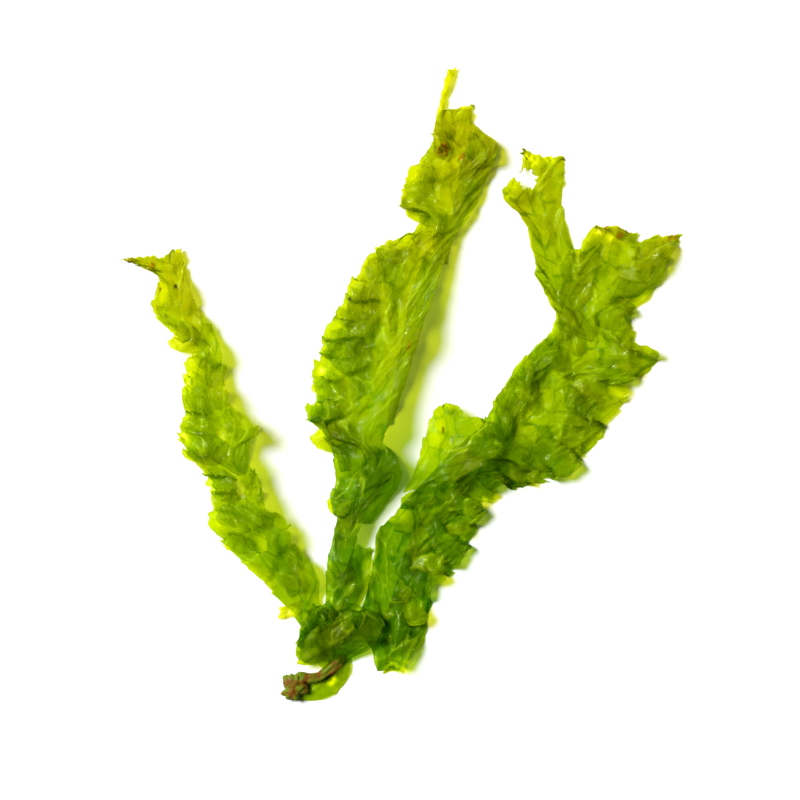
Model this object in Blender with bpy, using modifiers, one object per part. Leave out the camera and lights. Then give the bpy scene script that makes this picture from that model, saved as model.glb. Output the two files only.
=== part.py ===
"""Sea lettuce: three ruffled green fronds that grow from one small holdfast, lying on a flat surface.

Run with: blender --background --python part.py
Metres, +Z up, +Y from the holdfast towards the tips. The origin is under the holdfast, on the surface.
Every frond is a thin sheet, lofted between a left and a right margin whose points are in millimetres.
"""

import math

import bmesh
import bpy
import numpy as np

MM = 0.001
SHEET_THICKNESS = 0.8
NODE_GAP = 0.45
SETTLE_REACH = 9.0
SHARP_ANGLE = math.radians(55)
GREEN = (0.23, 0.42, 0.02)
SHEET_ROUGHNESS = 0.35
BROWN = (0.16, 0.09, 0.015)
HOLDFAST_ROUGHNESS = 0.5

# How finely a frond's line and cross-sections are traced, and how its columns lean to the margins
TRACE_STEPS = 600
FINE_STEPS = 120
COLUMN_LEAN = 0.8

# The holdfast's disc, and its stalk as (x, y, z, radius), which ends under the base fold
DISC_MIDDLE_HEIGHT = 0.9
DISC_HALF_SIZES = (4.1, 4.7, 2.3)
DISC_LOBES = 5
DISC_LOBE_DEPTH = 0.13
STALK_ROUTE = [
    (0.0, 1.0, 1.7, 1.7),
    (4.2, 1.8, 1.8, 1.45),
    (9.0, 4.8, 2.6, 1.4),
    (12.9, 9.6, 3.8, 1.6),
    (14.1, 14.1, 4.8, 1.5),
    (12.9, 19.8, 4.6, 1.1),
]

# Frond margins, from the root to the tip, as ((left x, left y), (right x, right y)) seen from above
LEFT_MARGINS = [
    ((1.8, 19.5), (7.8, 22.2)),
    ((-3.0, 25.2), (7.2, 28.2)),
    ((-6.6, 28.8), (7.2, 33.9)),
    ((-11.4, 33.0), (3.3, 40.5)),
    ((-18.3, 39.3), (-0.6, 45.0)),
    ((-24.3, 46.8), (-1.2, 50.7)),
    ((-24.3, 53.7), (-6.9, 54.0)),
    ((-24.0, 59.1), (-9.0, 60.6)),
    ((-28.2, 63.6), (-11.4, 65.7)),
    ((-32.4, 70.5), (-12.6, 71.4)),
    ((-35.4, 75.6), (-9.9, 77.4)),
    ((-34.8, 82.8), (-16.8, 82.5)),
    ((-33.6, 89.7), (-19.8, 87.6)),
    ((-32.7, 96.0), (-20.7, 95.1)),
    ((-29.7, 100.5), (-21.6, 101.7)),
    ((-36.3, 105.0), (-24.0, 107.7)),
    ((-42.0, 111.9), (-27.3, 111.9)),
    ((-40.8, 118.5), (-30.0, 116.7)),
    ((-41.1, 122.4), (-31.5, 122.1)),
    ((-46.8, 125.4), (-32.4, 127.5)),
    ((-51.6, 127.2), (-33.3, 132.3)),
]
MIDDLE_MARGINS = [
    ((9.3, 21.3), (15.0, 20.7)),
    ((9.6, 27.0), (16.5, 26.4)),
    ((9.6, 33.0), (18.9, 32.1)),
    ((9.9, 39.3), (18.0, 39.3)),
    ((12.0, 47.1), (20.1, 47.4)),
    ((12.3, 52.2), (22.8, 54.0)),
    ((10.8, 56.4), (27.3, 60.0)),
    ((11.7, 62.7), (30.3, 65.1)),
    ((10.8, 69.6), (30.3, 69.9)),
    ((7.8, 76.2), (27.0, 73.8)),
    ((4.8, 80.7), (29.1, 78.9)),
    ((5.1, 86.7), (31.2, 86.7)),
    ((4.8, 93.9), (33.3, 93.9)),
    ((6.9, 99.9), (36.3, 101.1)),
    ((7.8, 105.0), (39.0, 108.6)),
    ((11.1, 110.1), (41.1, 114.6)),
    ((12.9, 114.6), (42.6, 119.4)),
    ((15.9, 120.3), (44.7, 126.0)),
    ((19.8, 126.0), (46.5, 130.8)),
    ((26.4, 131.1), (48.6, 135.3)),
    ((34.2, 135.0), (51.6, 139.5)),
    ((33.9, 141.0), (54.0, 143.7)),
    ((31.8, 147.3), (56.1, 148.5)),
    ((33.0, 152.7), (59.1, 154.8)),
    ((36.9, 157.2), (60.9, 161.1)),
    ((40.8, 162.6), (55.5, 166.5)),
    ((42.0, 167.7), (53.1, 170.1)),
    ((42.9, 171.3), (53.4, 173.1)),
    ((43.5, 174.9), (48.0, 176.1)),
    ((45.0, 179.1), (48.3, 179.7)),
    ((45.9, 183.3), (49.2, 184.8)),
]
RIGHT_MARGINS = [
    ((18.9, 18.6), (27.6, 6.6)),
    ((20.4, 24.0), (33.6, 7.2)),
    ((21.9, 29.1), (37.8, 14.1)),
    ((23.1, 34.8), (41.4, 21.6)),
    ((24.0, 40.5), (41.4, 30.6)),
    ((24.9, 46.2), (47.1, 33.9)),
    ((28.5, 50.7), (52.8, 40.8)),
    ((33.0, 55.8), (54.9, 47.4)),
    ((37.5, 60.3), (58.8, 52.5)),
    ((42.3, 65.7), (59.7, 57.0)),
    ((48.3, 72.3), (65.1, 59.7)),
    ((54.9, 78.0), (72.9, 60.3)),
    ((58.2, 83.7), (80.1, 61.5)),
    ((60.6, 87.6), (85.2, 66.3)),
    ((63.9, 92.4), (90.6, 72.9)),
    ((66.9, 97.2), (92.1, 81.0)),
    ((71.4, 101.1), (97.8, 86.1)),
    ((75.6, 105.3), (103.5, 91.5)),
    ((77.1, 110.4), (106.2, 97.2)),
    ((76.2, 114.6), (105.0, 101.7)),
    ((73.8, 118.8), (105.0, 106.8)),
    ((72.6, 123.6), (102.6, 111.6)),
    ((72.0, 128.4), (102.0, 116.1)),
]
INNER_FORK_MARGINS = [
    ((72.0, 128.4), (85.2, 123.0)),
    ((70.5, 132.9), (83.7, 131.4)),
    ((69.9, 137.1), (81.6, 138.3)),
    ((67.2, 141.0), (80.7, 143.7)),
    ((63.0, 145.2), (80.7, 148.5)),
    ((63.9, 149.7), (81.0, 152.7)),
    ((67.5, 154.5), (81.0, 156.0)),
    ((67.5, 161.4), (81.0, 158.7)),
]
OUTER_FORK_MARGINS = [
    ((85.5, 122.7), (102.0, 116.1)),
    ((85.5, 129.0), (106.2, 119.4)),
    ((86.4, 133.5), (111.3, 123.0)),
    ((87.9, 136.5), (114.0, 127.8)),
    ((90.6, 138.9), (116.1, 134.7)),
]
SIDE_LOBE_MARGINS = [
    ((33.9, 59.4), (43.5, 61.2)),
    ((35.7, 63.3), (48.6, 62.7)),
    ((36.9, 68.1), (53.7, 65.1)),
    ((38.1, 73.8), (58.8, 67.5)),
    ((39.6, 79.2), (61.5, 70.8)),
    ((42.9, 83.4), (60.3, 75.9)),
    ((48.0, 84.3), (56.4, 80.1)),
]
BASE_FOLD_MARGINS = [
    ((4.2, 8.4), (13.5, 7.8)),
    ((1.2, 11.1), (19.2, 9.9)),
    ((1.5, 14.7), (24.6, 12.6)),
    ((2.7, 18.6), (26.4, 16.5)),
    ((5.4, 21.6), (24.3, 21.0)),
    ((9.0, 23.7), (18.0, 23.4)),
]
BASE_LOBE_MARGINS = [
    ((5.7, -1.2), (4.8, -3.9)),
    ((8.1, 0.3), (9.3, -3.0)),
    ((11.1, 2.4), (14.1, -0.6)),
    ((13.5, 4.8), (16.5, 3.3)),
    ((15.3, 7.8), (17.1, 7.8)),
]

# Each track is (share of the length, value) pairs. Clearance, tilt and frill are in millimetres.
# Arch, pleat and curl are turns of the cross-section in radians: a curl of pi folds that margin under.
BLADES = {
    "left_frond": {
        "margins": LEFT_MARGINS,
        "grid": (78, 6),
        "clearance": [(0, 0.5), (0.15, 0.4), (0.4, 0.9), (0.7, 1.6), (0.85, 0.8), (1, 0.4)],
        "arch": [(0, 0.5), (0.5, 0.7), (1, 0.2)],
        "pleat": [(0, 0.2), (0.2, 0.7), (0.5, 0.6), (0.8, 0.4), (1, 0.5)],
        "pleats": 1.1,
        "curl": ([(0, 0), (1, 0)], [(0, 0.3), (0.3, 1.6), (0.9, 1.8), (1, 0.2)]),
        "frill": (
            [(0, 0), (0.06, 0.5), (0.16, 2.8), (0.5, 3.2), (0.62, 1.2), (0.72, 2.4), (0.9, 1.0), (1, 1.0)],
            [(0, 0), (0.06, 0.5), (0.16, 2.0), (0.45, 2.2), (0.55, 0.8), (1, 0.6)],
        ),
        "frill_length": 14.0,
        "seed": 3,
    },
    "middle_frond": {
        "margins": MIDDLE_MARGINS,
        "grid": (88, 6),
        "clearance": [(0, 3.6), (0.05, 2.6), (0.15, 0.6), (0.5, 1.0), (0.75, 1.2), (0.9, 0.8), (1, 0.4)],
        "tilt": [(0, 0), (0.2, 0), (0.45, 2.2), (0.8, 1.8), (1, 0)],
        "arch": [(0, 0.8), (0.3, 0.8), (0.7, 0.5), (1, 0.4)],
        "pleat": [(0, 0.2), (0.25, 0.6), (0.5, 0.8), (0.8, 0.7), (1, 0.2)],
        "pleats": 1.4,
        "curl": (
            [(0, 0.8), (0.2, 0.8), (0.35, 0), (1, 0)],
            [(0, 0.8), (0.25, 1.4), (0.5, 2.2), (0.8, 2.0), (0.92, 0.4), (1, 0.2)],
        ),
        "frill": (
            [(0, 0), (0.2, 0.6), (0.35, 3.0), (0.75, 3.2), (0.9, 1.8), (0.95, 0.2), (1, 0)],
            [(0, 0), (0.2, 0.6), (0.8, 0.8), (0.88, 1.8), (0.95, 0.2), (1, 0)],
        ),
        "frill_length": 15.0,
        "seed": 5,
    },
    "right_frond": {
        "margins": RIGHT_MARGINS,
        "grid": (84, 7),
        "clearance": [(0, 0.4), (1, 0.6)],
        "arch": [(0, 0.3), (0.3, 0.2), (0.6, 0.6), (1, 0.5)],
        "pleat": [(0, 0.4), (0.3, 0.5), (0.6, 0.8), (1, 0.7)],
        "pleats": 1.6,
        "curl": ([(0, 0.6), (0.3, 0.6), (0.55, 1.6), (0.9, 1.4), (1, 0.8)], [(0, 0), (1, 0)]),
        "frill": (
            [(0, 0), (0.3, 0.6), (1, 0.8)],
            [(0, 0.4), (0.12, 2.8), (0.9, 3.2), (1, 2.0)],
        ),
        "frill_length": 14.0,
        "seed": 8,
        "joined_tip": True,
    },
    "inner_fork": {
        "margins": INNER_FORK_MARGINS,
        "grid": (18, 5),
        "clearance": [(0, 0.8), (1, 0.4)],
        "arch": [(0, 0.6), (1, 0.3)],
        "pleat": [(0, 0.5), (1, 0.5)],
        "pleats": 1.0,
        "curl": ([(0, 0.8), (0.5, 0), (1, 0)], [(0, 0), (0.4, 1.4), (1, 1.0)]),
        "frill": ([(0, 0.4), (0.6, 1.6), (1, 1.2)], [(0, 0), (1, 0.4)]),
        "frill_length": 12.0,
        "seed": 13,
        "joined_root": True,
    },
    "outer_fork": {
        "margins": OUTER_FORK_MARGINS,
        "grid": (14, 7),
        "clearance": [(0, 0.8), (1, 0.6)],
        "arch": [(0, 0.3), (1, 0.2)],
        "pleat": [(0, 0.7), (1, 0.9)],
        "pleats": 1.4,
        "curl": ([(0, 0), (1, 0)], [(0, 0), (1, 0)]),
        "frill": ([(0, 0), (1, 1.0)], [(0, 1.2), (1, 1.2)]),
        "frill_length": 12.0,
        "seed": 21,
        "joined_root": True,
    },
    "side_lobe": {
        "margins": SIDE_LOBE_MARGINS,
        "grid": (20, 5),
        "clearance": [(0, 3.4), (0.4, 2.4), (1, 2.4)],
        "tilt": [(0, 1.5), (0.4, 3.6), (1, 3.0)],
        "arch": [(0, 0.4), (1, 0.5)],
        "pleat": [(0, 0.4), (1, 0.5)],
        "pleats": 1.0,
        "curl": ([(0, 0.6), (1, 0.4)], [(0, 0), (1, 0)]),
        "frill": ([(0, 0), (1, 0.8)], [(0, 0.4), (0.3, 1.4), (1, 1.4)]),
        "frill_length": 9.0,
        "seed": 34,
    },
    "base_fold": {
        "margins": BASE_FOLD_MARGINS,
        "grid": (14, 6),
        "clearance": [(0, 1.2), (0.4, 1.2), (0.7, 2.8), (1, 3.4)],
        "tilt": [(0, 0.4), (0.4, 1.4), (1, 0.4)],
        "arch": [(0, 0.7), (0.5, 0.6), (1, 0.6)],
        "pleat": [(0, 0.2), (1, 0.4)],
        "pleats": 1.0,
        "curl": ([(0, 0.5), (1, 0.5)], [(0, 0.3), (1, 0.5)]),
        "frill": ([(0, 0), (1, 0.5)], [(0, 0), (1, 0.5)]),
        "frill_length": 9.0,
        "seed": 55,
    },
    "base_lobe": {
        "margins": BASE_LOBE_MARGINS,
        "grid": (12, 3),
        "clearance": [(0, 0.4), (1, 0.4)],
        "arch": [(0, 0.4), (0.5, 0.9), (1, 0.6)],
        "pleat": [(0, 0), (1, 0)],
        "pleats": 1.0,
        "curl": ([(0, 0), (1, 0)], [(0, 0), (1, 0)]),
        "frill": ([(0, 0), (1, 0)], [(0, 0), (1, 0)]),
        "frill_length": 9.0,
        "seed": 89,
    },
}


def clear_scene():
    for obj in list(bpy.data.objects):
        bpy.data.objects.remove(obj, do_unlink=True)


def smooth_step(low, high, x):
    t = np.clip((x - low) / (high - low), 0.0, 1.0)
    return t * t * (3.0 - 2.0 * t)


def smooth_curve(points, u):
    """Points of a Catmull-Rom curve through the given points, at shares u of their count."""
    points = np.asarray(points, float)
    before = 2 * points[:1] - points[1:2]
    after = 2 * points[-1:] - points[-2:-1]
    padded = np.concatenate((before, points, after))
    place = np.clip(u, 0, 1) * (len(points) - 1)
    first = np.minimum(place.astype(int), len(points) - 2)
    t = (place - first)[:, None]
    p0, p1, p2, p3 = (padded[first + k] for k in range(4))
    bend = 2 * p0 - 5 * p1 + 4 * p2 - p3
    twist = 3 * (p1 - p2) + p3 - p0
    return 0.5 * (2 * p1 + (p2 - p0) * t + bend * t**2 + twist * t**3)


def wander(seed, x, scale):
    """A smooth wandering value in -1 to 1 along x, from three sines with seeded phases."""
    phases = np.random.default_rng(seed).uniform(0, 2 * math.pi, 3)
    lengths = scale * np.array((1.0, 0.61, 0.37))
    return sum(np.sin(2 * math.pi * x / n + p) for n, p in zip(lengths, phases)) / 3


def value_along(stops, share):
    """A track's values at the given shares of the length, as a column."""
    places, values = zip(*stops)
    return np.interp(share, places, values)[:, None]


def smooth_floor(lows, reach):
    """The highest smooth line that stays under a bumpy one, so that a frond settles as a whole."""
    padded = np.pad(lows, 2 * reach, mode="edge")
    lowest = np.lib.stride_tricks.sliding_window_view(padded, 2 * reach + 1).min(axis=1)
    weights = np.hanning(2 * reach + 3)[1:-1]
    return np.convolve(lowest, weights / weights.sum(), mode="valid")


def cross_sections(blade, share, run, across):
    """How far across and how high each place of every cross-section is, about its middle."""
    phase = 2.4 * wander(blade["seed"], run, 70.0)[:, None]
    left_curl, right_curl = blade["curl"]
    turn = value_along(blade["pleat"], share) * np.sin(2 * math.pi * blade["pleats"] * across + phase)
    turn = turn - value_along(blade["arch"], share) * across
    turn = turn + value_along(left_curl, share) * smooth_step(0.62, 0.95, -across)
    turn = turn - value_along(right_curl, share) * smooth_step(0.62, 0.95, across)
    x = np.cumsum(np.cos(turn), axis=1)
    z = np.cumsum(np.sin(turn), axis=1)
    middle = slice(FINE_STEPS, FINE_STEPS + 1)
    return x - x[:, middle], z - z[:, middle]


def frill(blade, side, share, run, across):
    """Shifts along, outward and up that ruffle one margin more and more towards its edge."""
    size = value_along(blade["frill"][side], share) * smooth_step(0.25, 1.0, np.abs(across)) ** 1.2
    seed = blade["seed"] + side + 1
    wave = 2 * math.pi * run / blade["frill_length"] + 1.2 * wander(seed, run, 45.0)
    wave = wave[:, None]
    along = -0.3 * size * np.sin(2 * wave)
    outward = -0.3 * size * (1 + np.cos(2 * wave))
    return along, outward, size * np.sin(wave)


def blade_points(blade):
    """The sheet's middle surface as rows x columns x 3, in millimetres."""
    rows, columns = blade["grid"]
    lefts = [left for left, right in blade["margins"]]
    rights = [right for left, right in blade["margins"]]
    places = np.linspace(0, 1, TRACE_STEPS)
    traced = (smooth_curve(lefts, places) + smooth_curve(rights, places)) / 2
    steps = np.linalg.norm(np.diff(traced, axis=0), axis=1)
    run_at = np.concatenate(([0.0], np.cumsum(steps)))
    length = run_at[-1]
    root_gap = NODE_GAP if blade.get("joined_root") else 0.0
    tip_gap = NODE_GAP if blade.get("joined_tip") else 0.0
    run = np.linspace(root_gap, length - tip_gap, rows + 1)
    share = run / length

    left = smooth_curve(lefts, np.interp(run, run_at, places))
    right = smooth_curve(rights, np.interp(run, run_at, places))
    middle = (left + right) / 2
    half_width = np.linalg.norm(right - left, axis=1)[:, None] / 2
    heading = np.gradient(middle, axis=0)
    heading /= np.linalg.norm(heading, axis=1)[:, None]

    across = np.linspace(-1, 1, 2 * FINE_STEPS + 1)[None, :]
    x, z = cross_sections(blade, share, run, across)
    to_right = x.max(axis=1, keepdims=True)
    to_left = -x.min(axis=1, keepdims=True)
    z = z * 2 * half_width / (to_right + to_left)
    left_shifts = frill(blade, 0, share, run, across)
    right_shifts = frill(blade, 1, share, run, across)
    along, outward, up = (np.where(across > 0, r, l) for l, r in zip(left_shifts, right_shifts))
    sideways = np.where(across > 0, x / to_right, x / to_left)
    sideways = sideways + outward * np.sign(across) / np.maximum(half_width, 1.0)
    z = z + up + value_along(blade.get("tilt", [(0, 0)]), share) * across
    reach = max(1, round(SETTLE_REACH / length * rows))
    z = z - smooth_floor(z.min(axis=1), reach)[:, None] + value_along(blade["clearance"], share)

    plan = middle[:, None, :] + sideways[:, :, None] * (right - left)[:, None, :] / 2
    plan = plan + along[:, :, None] * heading[:, None, :]
    points = np.concatenate((plan, z[:, :, None]), axis=2)
    even = np.linspace(-1, 1, columns + 1)
    leaning = np.sign(even) * np.abs(even) ** COLUMN_LEAN
    return points[:, np.round((leaning + 1) * FINE_STEPS).astype(int)]


def finish(obj, collection, material):
    """Flattens what would go under the surface that the piece lies on, and dresses the piece."""
    for vertex in obj.data.vertices:
        vertex.co.z = max(vertex.co.z, 0.0)
    obj.data.materials.clear()
    obj.data.materials.append(material)
    obj.data.shade_smooth()
    obj.data.set_sharp_from_angle(angle=SHARP_ANGLE)
    for owner in list(obj.users_collection):
        owner.objects.unlink(obj)
    collection.objects.link(obj)


def apply_modifiers(obj):
    graph = bpy.context.evaluated_depsgraph_get()
    mesh = bpy.data.meshes.new_from_object(obj.evaluated_get(graph))
    obj.modifiers.clear()
    obj.data = mesh


def make_blade(name, blade, collection, material):
    """One frond or lobe: its middle surface, thickened to both sides."""
    points = blade_points(blade) * MM
    rows, width = points.shape[:2]
    faces = [
        (r * width + c, r * width + c + 1, (r + 1) * width + c + 1, (r + 1) * width + c)
        for r in range(rows - 1)
        for c in range(width - 1)
    ]
    mesh = bpy.data.meshes.new(name)
    mesh.from_pydata(points.reshape(-1, 3).tolist(), [], faces)
    obj = bpy.data.objects.new(name, mesh)
    collection.objects.link(obj)
    solidify = obj.modifiers.new("thickness", "SOLIDIFY")
    solidify.thickness = SHEET_THICKNESS * MM
    solidify.offset = 0.0
    apply_modifiers(obj)
    finish(obj, collection, material)


def make_holdfast(collection, material):
    """The lobed disc, flat underneath, joined with the stalk that rises from it to the base fold."""
    bpy.ops.mesh.primitive_uv_sphere_add(segments=20, ring_count=8, radius=1.0)
    disc = bpy.context.object
    disc.name = "holdfast"
    centre = np.array((0.0, 0.0, DISC_MIDDLE_HEIGHT))
    for vertex in disc.data.vertices:
        angle = math.atan2(vertex.co.y, vertex.co.x)
        lobe = 1 + DISC_LOBE_DEPTH * math.sin(DISC_LOBES * angle)
        spread = np.array((lobe, lobe, 1.0)) * DISC_HALF_SIZES
        vertex.co = (centre + np.array(vertex.co) * spread) * MM
        vertex.co.z = max(vertex.co.z, 0.0)

    curve = bpy.data.curves.new("stalk", "CURVE")
    curve.dimensions = "3D"
    curve.bevel_depth = MM
    curve.bevel_resolution = 2
    curve.use_fill_caps = True
    spline = curve.splines.new("POLY")
    route = smooth_curve(STALK_ROUTE, np.linspace(0, 1, 2 * len(STALK_ROUTE)))
    spline.points.add(len(route) - 1)
    for point, (x, y, z, radius) in zip(spline.points, route):
        point.co = (x * MM, y * MM, z * MM, 1.0)
        point.radius = radius
    tube = bpy.data.objects.new("stalk_curve", curve)
    bpy.context.scene.collection.objects.link(tube)
    graph = bpy.context.evaluated_depsgraph_get()
    stalk_mesh = bpy.data.meshes.new_from_object(tube.evaluated_get(graph))
    bpy.data.objects.remove(tube, do_unlink=True)
    work = bmesh.new()
    work.from_mesh(stalk_mesh)
    bmesh.ops.remove_doubles(work, verts=work.verts, dist=0.01 * MM)
    bmesh.ops.recalc_face_normals(work, faces=work.faces)
    work.to_mesh(stalk_mesh)
    work.free()
    stalk = bpy.data.objects.new("stalk", stalk_mesh)
    bpy.context.scene.collection.objects.link(stalk)

    union = disc.modifiers.new("stalk", "BOOLEAN")
    union.operation = "UNION"
    union.object = stalk
    apply_modifiers(disc)
    bpy.data.objects.remove(stalk, do_unlink=True)
    finish(disc, collection, material)


def make_material(name, colour, roughness):
    material = bpy.data.materials.new(name)
    material.use_nodes = True
    shader = material.node_tree.nodes["Principled BSDF"]
    shader.inputs["Base Color"].default_value = (*colour, 1.0)
    shader.inputs["Roughness"].default_value = roughness
    return material


def main():
    clear_scene()
    collection = bpy.data.collections.new("sea_lettuce")
    bpy.context.scene.collection.children.link(collection)
    green = make_material("wet_green_sheet", GREEN, SHEET_ROUGHNESS)
    brown = make_material("brown_holdfast", BROWN, HOLDFAST_ROUGHNESS)
    make_holdfast(collection, brown)
    for name, blade in BLADES.items():
        make_blade(name, blade, collection, green)


main()
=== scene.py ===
"""Dresses a sea lettuce: wet, translucent, ruffled green fronds that grow from one small brown holdfast.

Laid out as a Blender add-on with one operator for each group of like pieces, and run as a script.
Lengths in this file are millimetres unless a name says otherwise, and MM turns them into metres.
"""

import math

import bmesh
import bpy
import numpy as np
from bpy.props import FloatProperty, PointerProperty, StringProperty
from bpy.types import Operator, Panel, PropertyGroup
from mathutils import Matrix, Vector


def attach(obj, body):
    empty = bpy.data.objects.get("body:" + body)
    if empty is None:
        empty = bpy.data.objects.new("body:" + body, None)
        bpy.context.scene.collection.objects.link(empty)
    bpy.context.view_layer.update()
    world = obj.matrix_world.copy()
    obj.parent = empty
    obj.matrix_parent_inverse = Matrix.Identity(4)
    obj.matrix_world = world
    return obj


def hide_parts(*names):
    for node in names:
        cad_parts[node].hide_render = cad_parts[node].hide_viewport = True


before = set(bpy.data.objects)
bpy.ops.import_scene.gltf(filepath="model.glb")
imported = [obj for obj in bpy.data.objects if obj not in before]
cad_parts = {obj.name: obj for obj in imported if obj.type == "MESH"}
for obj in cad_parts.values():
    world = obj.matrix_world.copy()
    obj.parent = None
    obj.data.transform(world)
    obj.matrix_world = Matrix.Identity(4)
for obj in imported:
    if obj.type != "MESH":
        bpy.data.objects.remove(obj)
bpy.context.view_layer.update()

bl_info = {
    "name": "Sea lettuce",
    "version": (1, 0, 0),
    "blender": (4, 5, 0),
    "location": "3D View > Sidebar > Sea lettuce",
    "description": "Builds a wet sea lettuce with its holdfast, fronds, lobes and stage",
    "category": "Object",
}

MM = 0.001
BODY = "root"

# Frond margins, from the root to the tip, as ((left x, left y), (right x, right y)) seen from above
LEFT_MARGINS = [
    ((1.8, 19.5), (7.8, 22.2)), ((-3.0, 25.2), (7.2, 28.2)), ((-6.6, 28.8), (7.2, 33.9)),
    ((-11.4, 33.0), (3.3, 40.5)), ((-18.3, 39.3), (-0.6, 45.0)), ((-24.3, 46.8), (-1.2, 50.7)),
    ((-24.3, 53.7), (-6.9, 54.0)), ((-24.0, 59.1), (-9.0, 60.6)), ((-28.2, 63.6), (-11.4, 65.7)),
    ((-32.4, 70.5), (-12.6, 71.4)), ((-34.2, 75.6), (-9.9, 77.4)), ((-33.0, 82.8), (-16.8, 82.5)),
    ((-32.4, 89.7), (-19.8, 87.6)), ((-32.7, 96.0), (-20.7, 95.1)), ((-29.7, 100.5), (-21.6, 101.7)),
    ((-36.3, 105.0), (-24.0, 107.7)), ((-42.0, 111.9), (-27.3, 111.9)),
    ((-40.8, 118.5), (-30.0, 116.7)), ((-41.1, 122.4), (-31.5, 122.1)),
    ((-46.8, 125.4), (-32.4, 127.5)), ((-51.6, 127.2), (-33.3, 132.3)),
]
MIDDLE_MARGINS = [
    ((9.3, 21.3), (15.0, 20.7)), ((9.6, 27.0), (16.5, 26.4)), ((9.6, 33.0), (18.9, 32.1)),
    ((9.9, 39.3), (18.0, 39.3)), ((12.0, 47.1), (20.1, 47.4)), ((12.3, 52.2), (22.8, 54.0)),
    ((10.8, 56.4), (27.3, 60.0)), ((11.7, 62.7), (30.3, 65.1)), ((10.8, 69.6), (30.3, 69.9)),
    ((7.8, 75.9), (27.0, 73.8)), ((3.6, 80.1), (29.1, 78.9)), ((5.1, 86.7), (31.2, 86.7)),
    ((4.8, 93.9), (33.3, 93.9)), ((6.9, 99.9), (36.3, 101.1)), ((7.8, 105.0), (39.0, 108.6)),
    ((11.1, 110.1), (41.1, 114.6)), ((12.9, 114.6), (42.6, 119.4)), ((15.9, 120.3), (44.7, 126.0)),
    ((19.8, 126.0), (46.5, 130.8)), ((26.4, 131.1), (48.6, 135.3)), ((34.2, 135.0), (51.6, 139.5)),
    ((33.9, 141.0), (54.0, 143.7)), ((31.8, 147.3), (56.1, 148.5)), ((33.0, 152.7), (59.1, 154.8)),
    ((36.9, 157.2), (60.9, 161.1)), ((40.8, 162.6), (55.5, 166.5)), ((42.0, 167.7), (53.1, 170.1)),
    ((42.9, 171.3), (53.4, 173.1)), ((44.8, 173.7), (53.9, 173.7)),
]
RIGHT_MARGINS = [
    ((18.9, 18.6), (27.6, 6.6)), ((20.4, 24.0), (33.6, 7.2)), ((21.9, 29.1), (37.8, 14.1)),
    ((23.1, 34.8), (41.4, 21.6)), ((24.0, 40.5), (41.4, 30.6)), ((24.9, 46.2), (47.1, 33.9)),
    ((28.5, 50.7), (52.8, 40.8)), ((33.0, 55.8), (54.9, 47.4)), ((37.5, 60.3), (58.8, 52.5)),
    ((42.3, 65.7), (59.7, 57.0)), ((48.3, 72.3), (65.1, 59.7)), ((54.9, 78.0), (72.9, 60.3)),
    ((58.2, 83.7), (80.1, 61.5)), ((60.6, 87.6), (85.2, 66.3)), ((63.9, 92.4), (90.6, 72.9)),
    ((66.9, 97.2), (90.0, 81.6)), ((71.4, 101.1), (95.1, 87.0)), ((75.6, 105.3), (103.5, 91.5)),
    ((77.1, 110.4), (106.2, 97.2)), ((76.2, 114.6), (102.9, 102.0)), ((73.8, 118.8), (102.6, 107.1)),
    ((72.6, 123.6), (102.6, 111.6)), ((72.0, 128.4), (102.0, 116.1)),
]
INNER_FORK_MARGINS = [
    ((72.0, 128.4), (85.2, 123.0)), ((70.5, 132.9), (83.7, 131.4)), ((69.9, 137.1), (81.6, 138.3)),
    ((67.2, 141.0), (80.7, 143.7)), ((63.0, 145.2), (80.7, 148.5)), ((63.9, 149.7), (81.0, 152.7)),
    ((67.5, 154.5), (81.0, 156.0)), ((67.5, 161.4), (81.0, 158.7)),
]
OUTER_FORK_MARGINS = [
    ((85.5, 122.7), (102.0, 116.1)), ((85.5, 129.0), (106.2, 119.4)), ((86.4, 133.5), (109.8, 123.6)),
    ((87.9, 136.5), (112.8, 128.1)), ((90.6, 138.9), (116.1, 134.7)),
]
SIDE_LOBE_MARGINS = [
    ((33.9, 59.4), (43.5, 61.2)), ((35.7, 63.3), (48.6, 62.7)), ((36.9, 68.1), (53.7, 65.1)),
    ((38.1, 73.8), (58.8, 67.5)), ((39.6, 79.2), (61.5, 70.8)), ((42.9, 83.4), (60.3, 75.9)),
    ((48.0, 84.3), (56.4, 80.1)),
]
BASE_FOLD_MARGINS = [
    ((4.2, 8.4), (13.5, 7.8)), ((1.2, 11.1), (19.2, 9.9)), ((1.5, 14.7), (24.6, 12.6)),
    ((2.7, 18.6), (26.4, 16.5)), ((5.4, 21.6), (24.3, 21.0)), ((9.0, 23.7), (18.0, 23.4)),
]
BASE_LOBE_MARGINS = [
    ((2.4, 0.9), (2.4, -3.9)), ((4.5, 0.9), (5.4, -3.9)), ((6.3, 1.8), (9.0, -3.3)),
    ((9.0, 3.3), (13.8, -0.9)), ((11.7, 5.7), (16.2, 3.3)), ((14.1, 8.7), (17.1, 7.8)),
]

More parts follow.
